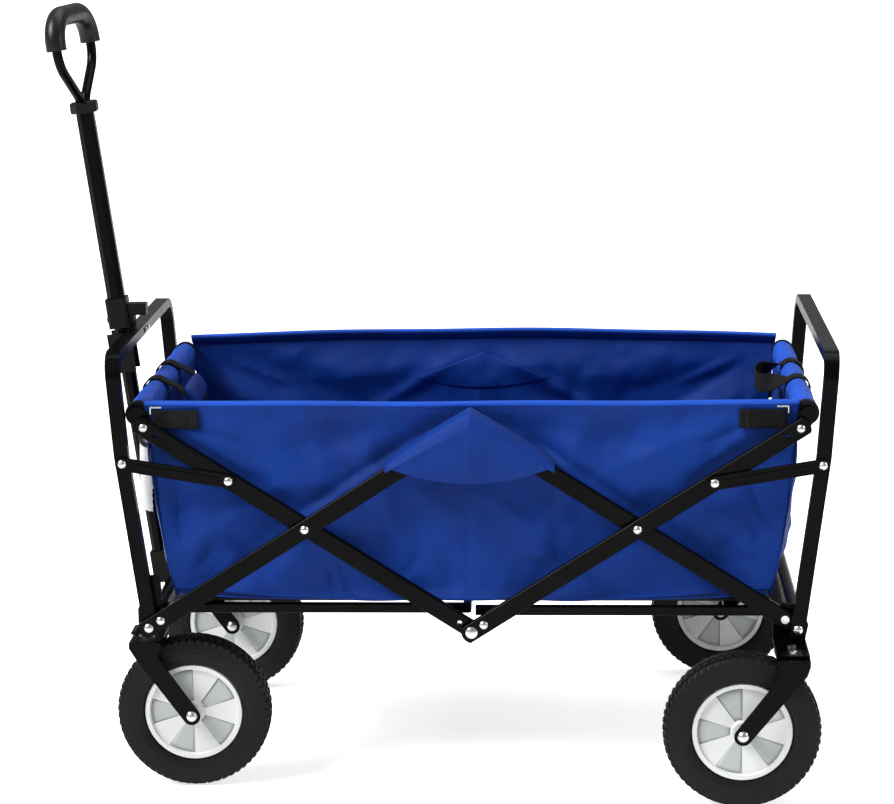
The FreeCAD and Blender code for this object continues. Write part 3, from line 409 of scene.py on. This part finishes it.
LONG_CREASES = [
    # start, end, width, depth: diagonal pulls from the corners, and slack near the floor
    ((-385, 478), (-150, 380), 26, -5.0), ((-380, 440), (-200, 330), 22, 3.5),
    ((385, 478), (130, 385), 28, -5.0), ((380, 450), (190, 330), 24, 3.5),
    ((-375, 300), (-190, 420), 18, -3.5), ((375, 300), (200, 420), 20, -4.0),
    ((-330, 262), (-210, 330), 12, 3.0), ((330, 262), (230, 345), 12, 3.0),
    ((-140, 470), (-70, 250), 16, -3.0), ((140, 470), (60, 250), 18, -3.0),
    ((-170, 300), (-150, 250), 7, 3.0), ((-120, 345), (-95, 290), 8, 2.6),
    ((70, 330), (190, 250), 10, 3.0), ((20, 380), (120, 290), 12, -2.6),
    ((120, 350), (150, 380), 8, 2.6), ((-300, 330), (-250, 265), 12, 3.0),
    ((345, 400), (372, 330), 9, 3.4), ((-372, 420), (-360, 300), 9, 3.4),
    ((-260, 470), (-225, 488), 8, 2.2), ((255, 468), (285, 489), 8, 2.2),
    ((300, 300), (340, 335), 8, 2.6), ((-235, 440), (-110, 455), 16, 2.4),
    ((110, 455), (250, 440), 16, 2.4), ((-40, 300), (-20, 250), 8, 2.2),
    # short sharp pulls
    ((-352, 470), (-250, 425), 5, 3.2), ((-345, 455), (-262, 405), 4, -2.6),
    ((352, 470), (262, 432), 5, 3.2), ((340, 452), (270, 405), 4, -2.6),
    ((-180, 285), (-172, 252), 3.5, 2.8), ((-152, 300), (-138, 262), 3.5, -2.4),
    ((-60, 318), (-85, 268), 4, 2.6), ((60, 300), (135, 262), 4, 2.8),
    ((52, 330), (100, 300), 4, -2.6),
    ((196, 318), (232, 352), 4, 2.8), ((212, 306), (240, 330), 3.5, -2.4),
    ((340, 352), (362, 322), 4, 2.6),
    ((318, 330), (350, 300), 4, -2.8), ((-320, 318), (-345, 282), 4, 2.6),
    ((-292, 300), (-318, 268), 4, -2.6),
    ((-205, 492), (-188, 478), 4, 2.4), ((240, 492), (262, 476), 4, 2.4),
    ((300, 492), (312, 479), 4, 2.0),
    ((-338, 400), (-372, 348), 4, 2.6), ((352, 388), (374, 350), 4, -2.4),
    # pressed in along the bars under the flap
    ((-8, 492), (-270, 318), 9, 4.2), ((8, 492), (270, 318), 9, 4.2),
    ((-60, 440), (-230, 330), 20, -4.0), ((60, 440), (230, 330), 20, -4.0),
]
CENTRE_CREASE_X = -5.0
RELIEF = 2.5                    # all the long walls' creases, deeper or shallower together
SET_BACK = 7.0                  # the wall's middle lies this far in from its edges


def long_wall(side):
    sign = SIDES[side]
    hem = [(212.9, RIM_Z - 13), (210.9, RIM_Z - 9.5), (208.3, RIM_Z - 6)]
    for step in range(7):
        angle = math.pi * (1 - step / 6)
        hem.append((WALL_Y - HEM_ROLL + HEM_ROLL * math.cos(angle),
                    RIM_Z - HEM_ROLL + HEM_ROLL * math.sin(angle)))
    columns, body_rows = 132, 42
    rows = len(hem) - 1 + body_rows

    def point(u, v):
        row = round(v * rows)
        along = 2 * u - 1
        if row < len(hem):
            y, z = hem[row]
            x = along * half_length(z)
            return cart(x, sign * y, z + rim_sag(x, sign))
        share = (row - len(hem) + 1) / body_rows
        top = RIM_Z - HEM_ROLL
        x = along * half_length(RIM_Z)
        z = top + (lower_edge(x) - top) * share
        x = along * half_length(z)
        return cart(x, sign * WALL_Y, z + rim_sag(x, sign) * (1 - share) ** 2)

    piece = grid_piece("tub_wall_" + side, columns, rows, point, BLUE)
    area = one_side_area(piece)
    wide = columns + 1
    pinned = [r * wide + c for r in range(rows + 1) for c in range(wide)
              if r < len(hem) + 1 or r > rows - 1 or c < 1 or c > columns - 1]
    simulate(piece, pinned, 0.006, 24, 11.0)
    mirrored = sign > 0
    for vertex in piece.data.vertices:
        x = (vertex.co.x - MIDDLE_X) * 1000
        z = vertex.co.z * 1000
        if z < RIM_Z - HEM_ROLL - 1 and abs(vertex.co.y) > 0.2095:
            fade = min(1.0, (RIM_Z - HEM_ROLL - z) / 30) * min(1.0, (z - lower_edge(x) + 2) / 14)
            seen = -x if mirrored else x
            depth = RELIEF * sum(crease(seen, z, *fold) for fold in LONG_CREASES)
            depth += ripple(x, z, 3.0 * sign, 110.0, 7.0) + ripple(x, z, 5.0 * sign, 38.0, 2.2)
            depth += crease(x, z, (CENTRE_CREASE_X, 500), (CENTRE_CREASE_X, 235), 3.2, 2.6)
            vertex.co.y -= sign * fade * (depth + SET_BACK) / 1000
        limit = WALL_LIMIT / 1000 - 0.001
        vertex.co.y = sign * min(sign * vertex.co.y, limit)
    thicken(piece, 1.2, 0.0, 1)
    # the hem's top faces take the lighter blue, a painted highlight: a deeper band on the outer side of the roll,
    # a thin one on the inner side
    piece.data.materials.append(BLUE_PAINTED_HIGHLIGHT)
    for face in piece.data.polygons:
        band = 4.5 if abs(face.center.y) > 0.2115 else 1.5
        if face.center.z * 1000 > RIM_Z - band + rim_sag((face.center.x - MIDDLE_X) * 1000, sign):
            face.material_index = 1
    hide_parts("tub_walls_and_floor")
    return dress_sheet(piece, (2 * 0.397, 0.275), area)


def dress_sheet(piece, flat, area):
    width, length = flat
    if area > width * length:
        length = area / width * 1.001
    return piece


def fold_with_front(piece):
    """Ride on the tub's front and move with it."""
    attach(piece, "tub_front")
    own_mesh(piece)
    return piece


def tub_floor():
    def point(u, v):
        x = (2 * u - 1) * 367.0
        y = (2 * v - 1) * 213.6
        edge = min(1.0, (213.6 - abs(y)) / 25, (367 - abs(x)) / 25)
        z = 244.0 + edge * (ripple(x, y, 9.0, 85.0, 1.3) + 0.9)
        z += edge * crease(x, y, (-5, -215), (-5, 215), 4.0, 1.2)
        return cart(x, y, z + 9.0 * abs(x / 380) ** 6 * (1 - edge))
    piece = grid_piece("tub_floor", 120, 70, point, BLUE)
    area = one_side_area(piece)
    thicken(piece, 1.4, 1.0)
    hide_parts("tub_walls_and_floor")
    dress_sheet(piece, (0.734, 0.4272), area)
    return fold_with_front(piece)


def end_wall(end):
    sign = -1 if end == "front" else 1

    def point(u, v):
        y = (2 * u - 1) * END_HALF
        z = 246.0 + 232.0 * v
        slope = 371.0 + 30.0 * min(1.0, (z - 246) / 180) ** 0.8
        slope -= 2.6 * max(0.0, (z - 462) / 16) ** 1.5
        x = slope + 7.0 * math.sin(math.pi * v) * math.cos(y / END_HALF * math.pi / 2) ** 0.7
        return cart(sign * x, y, z)
    columns, rows = 72, 40
    piece = grid_piece("tub_%s_panel" % end, columns, rows, point, BLUE)
    area = one_side_area(piece)
    wide = columns + 1
    pinned = [r * wide + c for r in range(rows + 1) for c in range(wide)
              if r in (0, rows) or c in (0, columns)]
    simulate(piece, pinned, 0.012, 20, 9.0)
    folds = [((-200, 450), (-60, 300), 16, 4.0), ((200, 450), (70, 300), 16, 4.0),
             ((-20, 460), (-40, 260), 14, -4.0), ((60, 430), (90, 260), 12, -3.0),
             ((-120, 440), (-150, 270), 12, -3.0), ((-190, 280), (-90, 350), 12, 3.0)]
    for vertex in piece.data.vertices:
        y, z = vertex.co.y * 1000, vertex.co.z * 1000
        fade = min(1.0, (END_HALF + 1 - abs(y)) / 18, (474 - z) / 20, (z - 244) / 20)
        depth = sum(crease(y, z, *fold) for fold in folds) + ripple(y, z, 5.0 * sign, 55.0, 4.0)
        vertex.co.x += sign * max(0.0, fade) * depth / 1000
    thicken(piece, 1.4, 0.0, 1)
    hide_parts("tub_%s_wall" % end)
    dress_sheet(piece, (0.418, 0.238), area)
    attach(piece, "tub_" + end)
    return piece


def flap(side):
    """Triangular hood over the bars' top joint: sewn to the wall along both slopes, open below."""
    sign = SIDES[side]
    shelf = [(216.9, 5.0), (226.0, 5.4), (236.0, 4.6), (243.0, 2.6), (246.6, -1.0), (248.0, -6.0)]
    rows = 26

    def point(u, v):
        along = 2 * u - 1
        x = FLAP_HALF * along
        top = FLAP_APEX_Z - (FLAP_APEX_Z - FLAP_CORNER_Z) * (abs(along) * 0.92 + 0.08 * along ** 2)
        low = FLAP_LOW_Z + (FLAP_CORNER_Z - FLAP_LOW_Z) * along ** 2
        row = round(v * rows)
        if row < len(shelf):
            y, rise = shelf[row]
            narrow = max(0.0, 1 - abs(along) ** 8)
            return cart(x, sign * y, top - 2.0 + rise * (0.25 + 0.75 * narrow))
        share = (row - len(shelf) + 1) / (rows - len(shelf) + 1)
        z = top - 8.0 + (low - top + 8.0) * share
        swell = 2.0 * math.sin(math.pi * share) * (1 - along ** 2)
        swell += 1.6 * math.exp(-((share - 0.1) / 0.09) ** 2)
        fold = crease(x, z, (0, 500), (0, 400), 3.0, 0.9)
        fold += crease(x, z, (20, 490), (70, 430), 7.0, 1.8)
        fold += crease(x, z, (-22, 488), (-75, 432), 8.0, 1.5)
        return cart(x, sign * (248.2 + swell + fold + ripple(x, z, 7.0 + sign, 40.0, 1.2)), z)
    piece = grid_piece("flap_" + side, 64, rows, point, BLUE)
    area = one_side_area(piece)
    thicken(piece, 1.3, 0.0, 1)
    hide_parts("tub_flaps")
    dress_sheet(piece, (0.208, 0.14), area)
    return fold_with_front(piece)


def inner_patch(side):
    """Patch on the wall's inside behind the flap, sewn along its edges."""
    sign = SIDES[side]
    wall = surface_of("tub_wall_" + side)

    def point(u, v):
        along = 2 * u - 1
        x = 93.0 * along
        top = 480.0 - 34.0 * abs(along)
        low = 430.0 + 16.0 * along ** 2
        z = top + (low - top) * v
        start = cart(x, sign * 150, z)
        hit = wall.ray_cast(start, Vector((0, sign, 0)))[0]
        y = hit.y * 1000 if hit else sign * 213
        lift = 0.9 + 1.2 * math.sin(math.pi * v) * (1 - along ** 2)
        return cart(x, y - sign * lift, z)
    piece = grid_piece("wall_patch_" + side, 48, 16, point, BLUE)
    area = one_side_area(piece)
    thicken(piece, 1.0, 0.0)
    dress_sheet(piece, (0.186, 0.05), min(area, 0.0093))
    return fold_with_front(piece)


def surface_of(name):
    mesh = bpy.data.objects[name].data
    return BVHTree.FromPolygons([v.co for v in mesh.vertices],
                                [tuple(p.vertices) for p in mesh.polygons])


def stitches(name, path, lift, material, pitch=3.4, length=2.3, radius=0.32):
    """Row of thread stitches along a path of points, each a short rod lying on the cloth."""
    verts, faces = [], []
    spent, place = 0.0, 0.0
    for a, b in zip(path, path[1:]):
        run = (b - a).length * 1000
        if run < 1e-6:
            continue
        while place < spent + run:
            middle = a.lerp(b, (place - spent) / run) + lift
            ahead = (b - a).normalized()
            up = lift.normalized()
            side = ahead.cross(up).normalized()
            base = len(verts)
            for end, size in ((-1, 0.45), (-0.7, 1), (0.7, 1), (1, 0.45)):
                for k in range(6):
                    angle = k * math.pi / 3
                    spoke = side * math.cos(angle) + up * math.sin(angle)
                    verts.append(middle + ahead * end * length / 2000
                                 + spoke * radius * size / 1000)
            for ring in range(3):
                for k in range(6):
                    p = base + ring * 6 + k
                    q = base + ring * 6 + (k + 1) % 6
                    faces.append((p, q, q + 6, p + 6))
            faces.append(tuple(base + k for k in range(5, -1, -1)))
            faces.append(tuple(base + 18 + k for k in range(6)))
            place += pitch
        spent += run
    piece = new_piece(name, verts, faces, material)
    return piece


def wall_stitches(side):
    """Hem stitching below the rim and along the lower edge."""
    sign = SIDES[side]
    wall = surface_of("tub_wall_" + side)
    outward = Vector((0, sign, 0))

    def on_wall(x, z):
        hit = wall.ray_cast(cart(x, sign * 260, z), -outward)[0]
        return hit or cart(x, sign * WALL_Y, z)
    for name, place in (("rim", lambda x: RIM_Z - 13 + rim_sag(x, sign)),
                        ("hem", lambda x: lower_edge(x) + 9)):
        path = [on_wall(x, place(x)) for x in range(-364, 365, 4)]
        fold_with_front(stitches("%s_stitches_%s" % (name, side), path, outward * 0.0001, THREAD))


def flap_stitches(side):
    sign = SIDES[side]
    cloth = surface_of("flap_" + side)
    outward = Vector((0, sign, 0))
    path = []
    for step in range(-46, 47):
        x = step * 2.0
        z = FLAP_LOW_Z + 7.0 + (FLAP_CORNER_Z - FLAP_LOW_Z) * (x / FLAP_HALF) ** 2
        hit = cloth.ray_cast(cart(x, sign * 300, z), -outward)[0]
        if hit:
            path.append(hit)
    fold_with_front(stitches("flap_stitches_" + side, path, outward * 0.0001, THREAD))


def sleeve(end):
    """Sleeve of the end wall round the rim tube, a little loose, with a black edge at each end."""
    sign = -1 if end == "front" else 1
    body = end + "_falling_bars"

    def around(u, v):
        y = (2 * v - 1) * 206.5
        angle = 2 * math.pi * u
        across, up = math.cos(angle), math.sin(angle)
        size = 13.6 + 1.5 * noise.noise(Vector((y / 32, across * 1.3, up * 1.3 + 3 * sign)))
        return cart(sign * SLEEVE_X + size * across, y, SLEEVE_Z + size * up)
    # the whole sleeve is in the lighter blue, a painted highlight on the roll
    piece = grid_piece("%s_sleeve" % end, 40, 90, around, BLUE_PAINTED_HIGHLIGHT, True)
    area = one_side_area(piece)
    thicken(piece, 1.2, 0.0, 1)
    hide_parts(end + "_rim_sleeve")
    dress_sheet(piece, (0.0854, 0.413), min(area, 0.0854 * 0.413))
    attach(piece, body)
    for side, place in SIDES.items():
        def binding(u, v, place=place):
            angle = 2 * math.pi * u
            y = place * (200.0 + 13.0 * min(1.0, v / 0.7))
            radius = 15.0 - 6.2 * max(0.0, v - 0.62) / 0.38
            return cart(sign * SLEEVE_X + radius * math.cos(angle), y,
                        SLEEVE_Z + radius * math.sin(angle))
        band = grid_piece("%s_binding_%s" % (end, side), 32, 8, binding, WEBBING, True)
        thicken(band, 0.9, 0.0)
        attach(band, body)


# ---------------------------------------------------------------- webbing
def ribbon(name, stations, width, thick, material, body):
    """Band along stations of (point, width direction), smooth in between."""
    points = [Vector(p) for p, w in stations]
    turns = [Vector(w).normalized() for p, w in stations]
    line, across = [], []
    for k in range(len(points) - 1):
        p0, p1 = points[max(k - 1, 0)], points[k]
        p2, p3 = points[k + 1], points[min(k + 2, len(points) - 1)]
        for step in range(8):
            t = step / 8
            line.append(0.5 * ((2 * p1) + (p2 - p0) * t + (2 * p0 - 5 * p1 + 4 * p2 - p3) * t * t
                               + (3 * p1 - p0 - 3 * p2 + p3) * t ** 3))
            across.append(turns[k].lerp(turns[k + 1], t).normalized())
    line.append(points[-1])
    across.append(turns[-1])
    rows, wide = len(line) - 1, 6

    def point(u, v):
        row = round(v * rows)
        return line[row] + across[row] * (u - 0.5) * width / 1000
    piece = grid_piece(name, wide, rows, point, material)
    length = sum((b - a).length for a, b in zip(line, line[1:]))
    area = one_side_area(piece)
    thicken(piece, thick, 0.0)
    edge = piece.modifiers.new("edge", "BEVEL")
    edge.width = thick / 3500
    edge.segments = 2
    edge.limit_method = "ANGLE"
    settle(piece)
    if width > 10:
        dress_sheet(piece, (width / 1000, length), area)
    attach(piece, body)
    return piece


def over_sleeve(sign, y, degrees):
    """Point just off the sleeve, for webbing that goes round it."""
    radius = SLEEVE_R + 1.4
    angle = math.radians(degrees)
    return cart(sign * (SLEEVE_X + radius * math.cos(angle)), y,
                SLEEVE_Z + radius * math.sin(angle))


def lift_handles():
    along = (0, 1, 0)
    for name, y in (("near", -54.0), ("far", 54.0)):
        stations = [(over_sleeve(-1, y, a), along) for a in (-20, 20, 60, 100, 135)]
        stations += [(cart(x, y, z), along) for x, z in ((-389, 487), (-381, 481), (-376, 474))]
        strip = ribbon("front_lift_strip_" + name, stations, 24.0, 1.8, WEBBING, "tub_front")
        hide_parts("front_lift_webbing")

    def grip(u, v):
        angle = 2 * math.pi * u
        y = (2 * v - 1) * 53.0
        full = (1 - abs(2 * v - 1) ** 6) ** 0.5
        seam = 1.4 * math.exp(-((math.cos(angle) + 1) / 0.02)) if full > 0.2 else 0.0
        pucker = 0.5 * math.sin(y / 3.1) * math.exp(-((math.cos(angle) - 1) / 0.3) ** 2)
        r_x = (3.4 + 4.4 * full - seam + pucker)
        r_z = (10.0 + 5.0 * full - seam)
        lean = 0.35 * r_z * math.sin(angle)
        return cart(-370.0 + r_x * math.cos(angle) - lean, y, 469.0 + r_z * math.sin(angle))
    piece = grid_piece("front_lift_pad", 36, 48, grip, BLUE, True)
    cap_ends(piece, 36, 48)
    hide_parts("front_lift_grip")
    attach(piece, "tub_front")
    edge = [(cart(-362.6, y, 454.6 + 0.5 * math.cos(y / 11)), (0, 0, 1))
            for y in range(-54, 55, 12)]
    ribbon("front_lift_edge", edge, 6.0, 1.2, WEBBING, "tub_front")

    up = (0, 0, 1)
    slant = (0, 0.8, 0.6)
    loop = [(over_sleeve(1, -54, a), along) for a in (-20, 20, 60, 100)]
    loop += [(over_sleeve(1, -53, 135), along), (cart(386, -51, 489), slant)]
    loop += [(cart(372, -44, 485), up), (cart(364.5, -24, 483), up)]
    loop += [(cart(363.0, 0, 482), up), (cart(364.5, 24, 483), up)]
    loop += [(cart(372, 44, 485), up), (cart(386, 51, 489), (0, -0.8, 0.6))]
    ends = [(over_sleeve(1, 53, 135), (0, -1, 0))]
    ends += [(over_sleeve(1, 54, a), (0, -1, 0)) for a in (100, 60, 20, -20)]
    band = ribbon("rear_lift_loop", loop + ends, 24.0, 1.8, WEBBING, "tub_rear")
    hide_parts("rear_lift_webbing")
    strip = [(cart(396.5 - 0.08 * (470 - z), 4, z), along)
             for z in (468, 440, 400, 360, 320, 280, 256)]
    ribbon("rear_wall_tape", strip, 20.0, 1.4, WEBBING, "tub_rear")


def cap_ends(piece, columns, rows):
    """Close a tube-like piece at both ends."""
    mesh = bmesh.new()
    mesh.from_mesh(piece.data)
    mesh.verts.ensure_lookup_table()
    mesh.faces.new([mesh.verts[k] for k in range(columns)][::-1])
    mesh.faces.new([mesh.verts[rows * columns + k] for k in range(columns)])
    bmesh.ops.recalc_face_normals(mesh, faces=mesh.faces)
    mesh.to_mesh(piece.data)
    mesh.free()
    piece.data.polygons.foreach_set("use_smooth", [True] * len(piece.data.polygons))


def corner_patches():
    """Webbing patches beside the wall's top corners, each with a line of stitches across."""
    for side, sign in SIDES.items():
        for end, x0, x1 in (("front", -394.0, -336.0), ("rear", 330.0, 388.0)):
            def point(u, v):
                x = x0 + (x1 - x0) * u
                z = 463.0 + 24.0 * v
                return cart(x, sign * (WALL_LIMIT + 0.9 + 0.5 * math.sin(math.pi * u)), z)
            piece = grid_piece("corner_patch_%s_%s" % (end, side), 20, 8, point, WEBBING)
            area = one_side_area(piece)
            thicken(piece, 1.5, 0.0)
            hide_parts("corner_webbing_patches")
            dress_sheet(piece, (0.058, 0.024), min(area, 0.001392))
            fold_with_front(piece)
            seam_x = x0 + (48.0 if end == "front" else 10.0)
            path = [cart(seam_x, sign * (WALL_LIMIT + 2.1), z) for z in (465, 475, 485)]
            outward = Vector((0, sign, 0))
            fold_with_front(stitches("patch_stitches_%s_%s" % (end, side), path, outward * 0.0001,
                                     BLACK_THREAD, 2.6, 1.8))


def net_pockets():
    """Knitted net pockets on the outside of the front wall, with a bound top edge."""
    for side, y0 in (("near", -116.0), ("far", 116.0)):
        def on_pocket(a, z):
            swell = 1 + 0.05 * math.sin(math.pi * (z - 352) / 86)
            return cart(-400.0 - 23.0 * swell * math.sin(a), y0 - 79.0 * math.cos(a), z)
        verts, faces = [], []
        cells, tall = 44, 20
        for r in range(tall + 1):
            for c in range(cells + 1):
                a = math.pi * (c + 0.5 * (r % 2)) / (cells + 0.5)
                verts.append(on_pocket(a, 353 + 82 * r / tall))
        for r in range(tall):
            for c in range(cells):
                p = r * (cells + 1) + c
                q = p + cells + 1
                if r % 2 == 0:
                    faces += [(p, p + 1, q), (p + 1, q + 1, q)]
                else:
                    faces += [(p, p + 1, q + 1), (p, q + 1, q)]
        net = new_piece("net_pocket_" + side, verts, faces, NET)
        cords = net.modifiers.new("cords", "WIREFRAME")
        cords.thickness = 0.0011
        settle(net)
        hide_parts("front_mesh_pockets")
        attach(net, "tub_front")

        def edge(u, v):
            turn = math.pi * v
            angle = 2 * math.pi * u
            out = math.cos(angle)
            return on_pocket(turn, 437.0) + 0.0022 * Vector(
                (-math.sin(turn) * out, -math.cos(turn) * out, 1.3 * math.sin(angle)))
        band = grid_piece("net_binding_" + side, 12, 48, edge, WEBBING, True)
        cap_ends(band, 12, 48)
        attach(band, "tub_front")


# ---------------------------------------------------------------- rivets
def dome(name, centre, sign, radius, height, body):
    """Bright domed rivet head facing out to one side."""
    def point(u, v):
        angle = 2 * math.pi * u
        lift = math.cos(v * math.pi / 2)
        reach = radius * math.sin(v * math.pi / 2)
        return centre + Vector((reach * math.cos(angle), sign * height * lift,
                                reach * math.sin(angle))) / 1000
    piece = grid_piece(name, 24, 8, lambda u, v: point(u, 0.02 + 0.98 * v), ZINC, True)
    cap_ends(piece, 24, 8)
    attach(piece, body)


def strut_rivets():
    """Heads of the rivets that hold the struts to the falling bars."""
    for end, sign_x in (("front", -1), ("rear", 1)):
        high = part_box(end + "_struts")[1]
        for side, sign in SIDES.items():
            centre = cart(sign_x * STRUT_END_X, sign * (high.y * 1000 - 2.7), STRUT_END_Z)
            dome("%s_strut_rivet_%s" % (end, side), centre, sign, 5.6, 3.0, end + "_struts")


# ---------------------------------------------------------------- tyres
def tyre(corner):
    """Tyre with sidewall rings and two rows of knobs on each shoulder."""
    low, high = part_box(corner + "_tyre")
    centre = (low + high) / 2
    outer = (high.z - low.z) / 2
    half = (high.y - low.y) / 2
    bead = 0.0621
    profile = [
        (-0.62 * half, bead), (-0.9 * half, bead + 0.002), (-0.97 * half, bead + 0.006),
        (-0.96 * half, bead + 0.0075), (-1.0 * half, bead + 0.0095), (-1.0 * half, bead + 0.016),
        (-0.975 * half, bead + 0.0175), (-0.98 * half, bead + 0.02), (-0.9 * half, outer - 0.0066),
        (-0.72 * half, outer - 0.0034), (-0.4 * half, outer - 0.0020), (0.0, outer - 0.0018),
    ]
    profile += [(-y, r) for y, r in profile[-2::-1]]
    count = 96
    verts, faces = [], []
    for k in range(count):
        angle = 2 * math.pi * k / count
        for y, r in profile:
            verts.append(centre + Vector((r * math.cos(angle), y, r * math.sin(angle))))
    size = len(profile)
    for k in range(count):
        for p in range(size):
            q = (p + 1) % size
            a, b = k * size, (k + 1) % count * size
            faces.append((a + p, a + q, b + q, b + p))

    def knob(angle, y0, y1, r_low, r_high, spread_angle, skew):
        base = len(verts)
        for r, shrink in ((r_low, 1.0), (r_high - 0.0008, 1.0), (r_high, 0.8)):
            for sy, sa in ((0, -1), (1, -1), (1, 1), (0, 1)):
                middle = (y0 + y1) / 2
                y = middle + (y1 - y0) * (sy - 0.5) * shrink
                turn = angle + sa * spread_angle * shrink + skew * (y - y0)
                drop = 0.22 * max(0.0, abs(y) - 0.5 * half)
                verts.append(centre + Vector(((r - drop) * math.cos(turn), y,
                                              (r - drop) * math.sin(turn))))
        for ring in range(2):
            for k in range(4):
                p, q = base + ring * 4 + k, base + ring * 4 + (k + 1) % 4
                faces.append((p, p + 4, q + 4, q))
        faces.append(tuple(base + k for k in (8, 11, 10, 9)))
        faces.append(tuple(base + k for k in range(4)))
    knobs = 60
    for k in range(knobs):
        step = 2 * math.pi / knobs
        for sign in (-1, 1):
            shift = 0.0 if sign < 0 else 0.5
            knob(step * (k + shift), sign * 0.6 * half, sign * 0.9 * half,
                 outer - 0.011, outer - 0.0012,
                 step * (0.38 if k % 2 else 0.34), sign * 1.5)
            knob(step * (k + 0.5 + shift), sign * 0.2 * half, sign * 0.5 * half,
                 outer - 0.008, outer - 0.0002,
                 step * 0.3, sign * 3.0)
        knob(step * k, -0.1 * half, 0.1 * half, outer - 0.008, outer - 0.0001, step * 0.22, 0.0)
    piece = new_piece(corner + "_tread_tyre", verts, faces, TYRE, False)
    mesh = bmesh.new()
    mesh.from_mesh(piece.data)
    bmesh.ops.recalc_face_normals(mesh, faces=mesh.faces)
    mesh.to_mesh(piece.data)
    mesh.free()
    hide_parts(corner + "_tyre")
    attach(piece, corner + "_wheel")


def painted_shade_plates(corner):
    """Five tilted plates on each face of a rim, in the hollows between wedges, a little greyer than the rim:
    painted shade in the hollows.
    """
    low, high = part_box(corner + "_rim")
    centre = (low + high) / 2
    for face, sign in (("outer", -1), ("inner", 1)):
        verts, faces = [], []
        for k in range(5):
            base = len(verts)
            for r in range(9):
                for a in range(9):
                    radius = 15.5 + 38.0 * r / 8
                    angle = math.radians(18.6 + 72.0 * k + 34.8 * a / 8)
                    deep = 12.1 - 1.3 * (a / 8 if sign < 0 else 1 - a / 8)
                    out = Vector((radius * math.cos(angle), sign * deep, radius * math.sin(angle)))
                    verts.append(centre + out / 1000)
            for r in range(8):
                for a in range(8):
                    p = base + r * 9 + a
                    faces.append((p, p + 1, p + 10, p + 9))
        piece = new_piece("%s_recess_plates_%s" % (corner, face), verts, faces, RIM_PAINTED_SHADE)
        thicken(piece, 0.8, 0.0)
        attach(piece, corner + "_wheel")


# ---------------------------------------------------------------- light, floor and camera
def look(eye, yaw, pitch, roll):
    """Camera matrix: yaw turns left from +Y, pitch looks up, roll tilts."""
    ahead = Vector((-math.sin(yaw) * math.cos(pitch), math.cos(yaw) * math.cos(pitch),
                    math.sin(pitch)))
    right = Vector((math.cos(yaw), math.sin(yaw), 0))
    up = right.cross(ahead)
    right, up = (math.cos(roll) * right + math.sin(roll) * up,
                 -math.sin(roll) * right + math.cos(roll) * up)
    rotation = Matrix((right, up, -ahead)).transposed()
    return Matrix.Translation(eye) @ rotation.to_4x4()


def make_camera():
    camera = bpy.data.objects.new("camera", bpy.data.cameras.new("camera"))
    camera.data.lens = CAMERA_LENS
    camera.data.sensor_width = SENSOR_WIDTH
    camera.matrix_world = look(cart(*CAMERA_PLACE), CAMERA_YAW, CAMERA_PITCH, CAMERA_ROLL)
    bpy.context.scene.collection.objects.link(camera)
    bpy.context.scene.camera = camera


def area_light(name, place, aim, size, power):
    lamp = bpy.data.lights.new(name, "AREA")
    lamp.shape = "RECTANGLE"
    lamp.size, lamp.size_y = size
    lamp.energy = power
    holder = bpy.data.objects.new(name, lamp)
    holder.location = Vector(place)
    holder.rotation_euler = (Vector(aim) - Vector(place)).to_track_quat("-Z", "Y").to_euler()
    bpy.context.scene.collection.objects.link(holder)


def seen_or_not(tree, unseen, seen):
    """One value for rays from the camera and another for all other rays."""
    ray = tree.nodes.new("ShaderNodeLightPath").outputs["Is Camera Ray"]
    value = tree.nodes.new("ShaderNodeMapRange")
    value.inputs["To Min"].default_value = unseen
    value.inputs["To Max"].default_value = seen
    tree.links.new(ray, value.inputs["Value"])
    return value.outputs["Result"]


def make_studio():
    """White floor and world, three soft lamps and a broad sun from the front left."""
    floor_material = bpy.data.materials.new("pale_floor")
    floor_material.use_nodes = True
    tree = floor_material.node_tree
    shader = tree.nodes["Principled BSDF"]
    shader.inputs["Base Color"].default_value = (0.95, 0.95, 0.95, 1)
    shader.inputs["Roughness"].default_value = 0.9
    shader.inputs["Specular IOR Level"].default_value = 0.0
    shader.inputs["Emission Color"].default_value = (1, 1, 1, 1)
    tree.links.new(seen_or_not(tree, *FLOOR_GLOW), shader.inputs["Emission Strength"])
    reach, under = 30.0, -0.0003
    corners = [(-reach, -reach, under), (reach, -reach, under), (reach, reach, under),
               (-reach, reach, under)]
    floor = new_piece("floor", corners, [(0, 1, 2, 3)], floor_material)
    world = bpy.data.worlds.new("studio")
    world.use_nodes = True
    backdrop = world.node_tree.nodes["Background"]
    backdrop.inputs["Color"].default_value = (1, 1, 1, 1)
    strength = seen_or_not(world.node_tree, AMBIENT, 1.0)
    world.node_tree.links.new(strength, backdrop.inputs["Strength"])
    bpy.context.scene.world = world
    aim = (MIDDLE_X, 0, 0.4)
    area_light("key", (-2.2, -1.5, 2.8), aim, (1.1, 0.9), 30)
    area_light("top", (0.3, 0.6, 3.0), aim, (2.4, 1.8), 26)
    area_light("right", (3.0, -0.8, 1.9), aim, (0.7, 1.3), 18)
    sun = bpy.data.lights.new("sun", "SUN")
    sun.energy = SUN_POWER
    sun.angle = SUN_ANGLE
    holder = bpy.data.objects.new("sun", sun)
    holder.rotation_euler = Vector(SUN_FROM).to_track_quat("Z", "Y").to_euler()
    bpy.context.scene.collection.objects.link(holder)
    bpy.context.scene.view_settings.view_transform = "Standard"


def build():
    make_camera()
    make_studio()
    dress_cad_nodes()
    for side in SIDES:
        long_wall(side)
        wall_stitches(side)
        inner_patch(side)
        flap(side)
        flap_stitches(side)
    tub_floor()
    for end in ("front", "rear"):
        end_wall(end)
        sleeve(end)
        for side in SIDES:
            tyre("%s_%s" % (end, side))
            painted_shade_plates("%s_%s" % (end, side))
    lift_handles()
    corner_patches()
    net_pockets()
    strut_rivets()
    for side in SIDES:
        fold_with_front(bpy.data.objects["tub_wall_" + side])


build()
